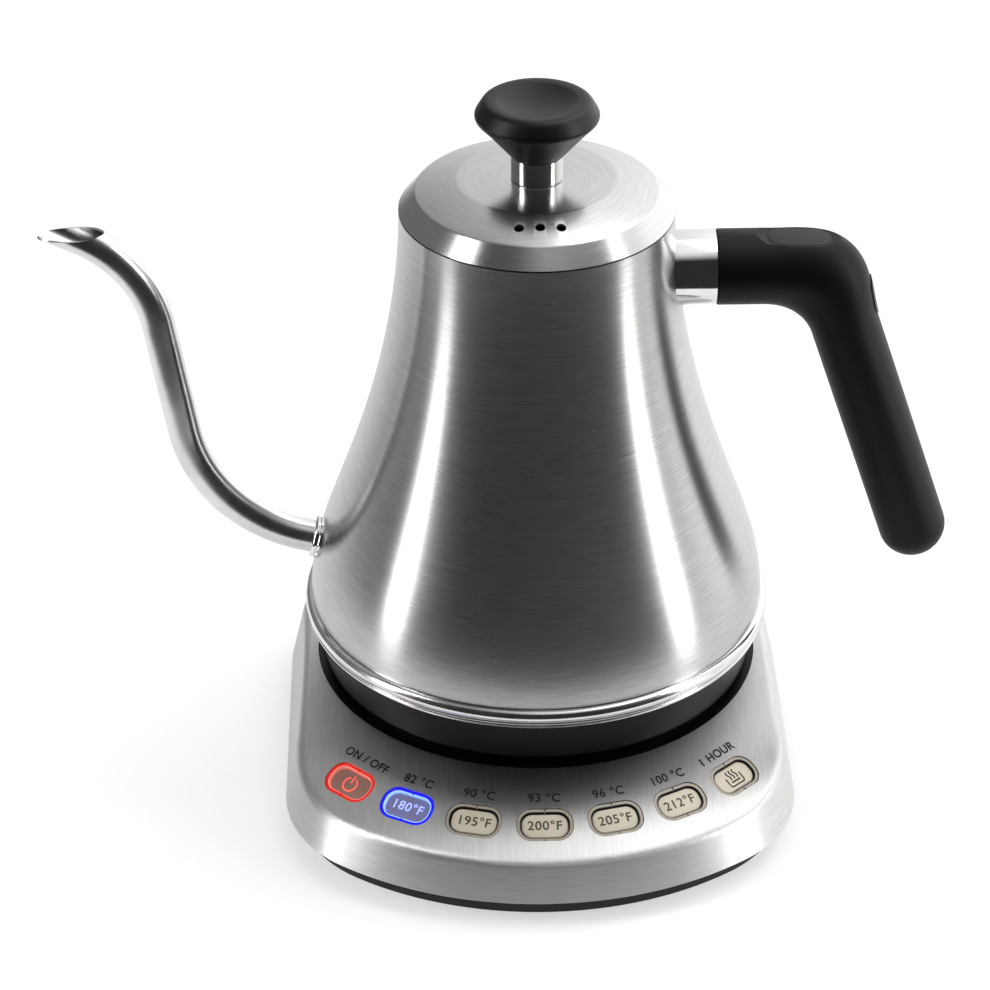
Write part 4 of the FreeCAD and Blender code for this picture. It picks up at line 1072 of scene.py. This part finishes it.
def finish_nodes():
    """Finishes for the solids that stay as they are."""
    finishes = {
        foot_rubber: ["foot_ring"],
        zinc: ["base_screws", "skirt_screws", "handle_screw", "knob_screw"],
        nylon_black: ["base_connector", "kettle_connector", "relay", "capacitor", "buzzer", "tact_switches",
                      "switch_carrier"],
        brass: ["connector_contacts", "kettle_pin", "kettle_contact_rings", "element_terminals"],
        board_green: ["control_board", "power_board"],
        winding_yellow: ["transformer"],
        terminal_green: ["terminal_block"],
        lamp_white: ["indicator_lamps", "thermal_fuse"],
        lid_steel: ["kettle_floor", "lid_plate"],
        spout_steel: ["handle_tongue"],
        aluminium: ["heat_spreader", "thermal_cutout"],
        sheath: ["heating_element", "temperature_sensor"],
        silicone_white: ["lid_seal", "sensor_seal"],
    }
    for material, names in finishes.items():
        for name in names:
            nodes[name].data.materials.clear()
            nodes[name].data.materials.append(material)


# Stage, light and camera

def make_stage():
    """Pale floor that stays white round the soft shadow."""
    ready()
    middle = (0, floor_shift, 0)
    bpy.ops.mesh.primitive_circle_add(vertices=96, radius=floor_radius, location=middle, fill_type="NGON")
    floor = bpy.context.object
    floor.name = "floor"
    bpy.ops.object.transform_apply()
    material, tree, shader = surface("floor_white", Roughness=0.9)
    place = add(tree, "TexCoord").outputs["Object"]
    grain = add(tree, "TexNoise", {"Vector": place, "Scale": per_mm(40.0)}).outputs["Fac"]
    greys = {0: grain, 6: linear("#bcbcbc"), 7: linear("#c2c2c2")}
    tree.links.new(add(tree, "Mix", greys, data_type="RGBA").outputs[2], shader.inputs["Base Color"])
    rays = add(tree, "LightPath").outputs
    seen = rays["Is Camera Ray"]
    for ray in ("Is Glossy Ray", "Is Transmission Ray"):
        seen = add(tree, "Math", {0: seen, 1: rays[ray]}, operation="ADD").outputs[0]
    glow = add(tree, "Math", {0: seen, 1: floor_glow}, operation="MULTIPLY").outputs[0]
    shader.inputs["Emission Color"].default_value = (1, 1, 1, 1)
    tree.links.new(glow, shader.inputs["Emission Strength"])
    floor.data.materials.append(material)


def make_world():
    """Studio walls for the steel to mirror: dark in front, brighter behind and overhead, most on the right.

    The camera itself sees plain white behind the object.
    """
    world = bpy.data.worlds.new("studio")
    world.use_nodes = True
    bpy.context.scene.world = world
    tree = world.node_tree
    way = add(tree, "TexCoord").outputs["Generated"]
    split = add(tree, "SeparateXYZ", {0: way})
    behind = add(tree, "MapRange", {"Value": split.outputs[0], "From Min": -0.5, "From Max": 0.5,
                                    "To Min": back_left, "To Max": back_right})
    depth = add(tree, "MapRange", {"Value": split.outputs[1], "From Min": -0.55, "From Max": 0.45,
                                   "To Min": front_wall, "To Max": behind.outputs[0]},
                interpolation_type="SMOOTHSTEP")
    roof = add(tree, "MapRange", {"Value": split.outputs[2], "From Min": 0.68, "From Max": 1.0,
                                  "To Min": 0.0, "To Max": 1.0}, interpolation_type="SMOOTHSTEP")
    across = add(tree, "MapRange", {"Value": split.outputs[0], "From Min": -0.3, "From Max": 0.15,
                                    "To Min": ceiling_left, "To Max": ceiling_right},
                 interpolation_type="SMOOTHSTEP")
    rooms = {0: roof.outputs[0], 2: depth.outputs[0], 3: across.outputs[0]}
    room = add(tree, "Mix", rooms, data_type="FLOAT").outputs[0]
    seen = add(tree, "LightPath").outputs["Is Camera Ray"]
    level = add(tree, "Mix", {0: seen, 2: room, 3: 1.0}, data_type="FLOAT").outputs[0]
    sky = tree.nodes["Background"]
    sky.inputs["Color"].default_value = (1, 1, 1, 1)
    tree.links.new(level, sky.inputs["Strength"])


def make_soft_box(name, azimuth, elevation, distance, size, watts):
    """Soft box aimed at the middle of the kettle. Azimuth 0 is in front, towards the buttons."""
    data = bpy.data.lights.new(name, "AREA")
    data.shape = "RECTANGLE"
    data.size, data.size_y = size
    data.energy = watts
    box = bpy.data.objects.new(name, data)
    bpy.context.scene.collection.objects.link(box)
    a, e = math.radians(azimuth), math.radians(elevation)
    way = Vector((math.sin(a) * math.cos(e), -math.cos(a) * math.cos(e), math.sin(e)))
    box.location = aim + distance * way
    box.rotation_euler = (-way).to_track_quat("-Z", "Y").to_euler()


def make_camera():
    """Camera of the photograph, a long lens from the front and above."""
    data = bpy.data.cameras.new("camera")
    data.sensor_width = sensor
    data.lens = focal_pixels / image_pixels * sensor
    camera = bpy.data.objects.new("camera", data)
    bpy.context.scene.collection.objects.link(camera)
    turn = Matrix.Rotation(-object_turn, 4, "Z")
    look = Matrix.Rotation(-camera_yaw, 4, "Z") @ Matrix.Rotation(math.pi / 2 - camera_pitch, 4, "X")
    roll = Matrix.Rotation(camera_roll, 4, "Z")
    camera.matrix_world = turn @ Matrix.Translation(camera_place) @ look @ roll
    bpy.context.scene.camera = camera


make_shell()
make_rim()
make_skirt()
make_spout()
make_collar()
make_ferrule()
make_grip()
make_inlay()
make_plug()
make_lid()
make_knob()
make_stem()
make_base()
make_buttons()
finish_nodes()
make_stage()
make_world()
for name, settings in soft_boxes.items():
    make_soft_box(name, *settings)
make_camera()
bpy.context.scene.view_settings.view_transform = "Standard"
ready()
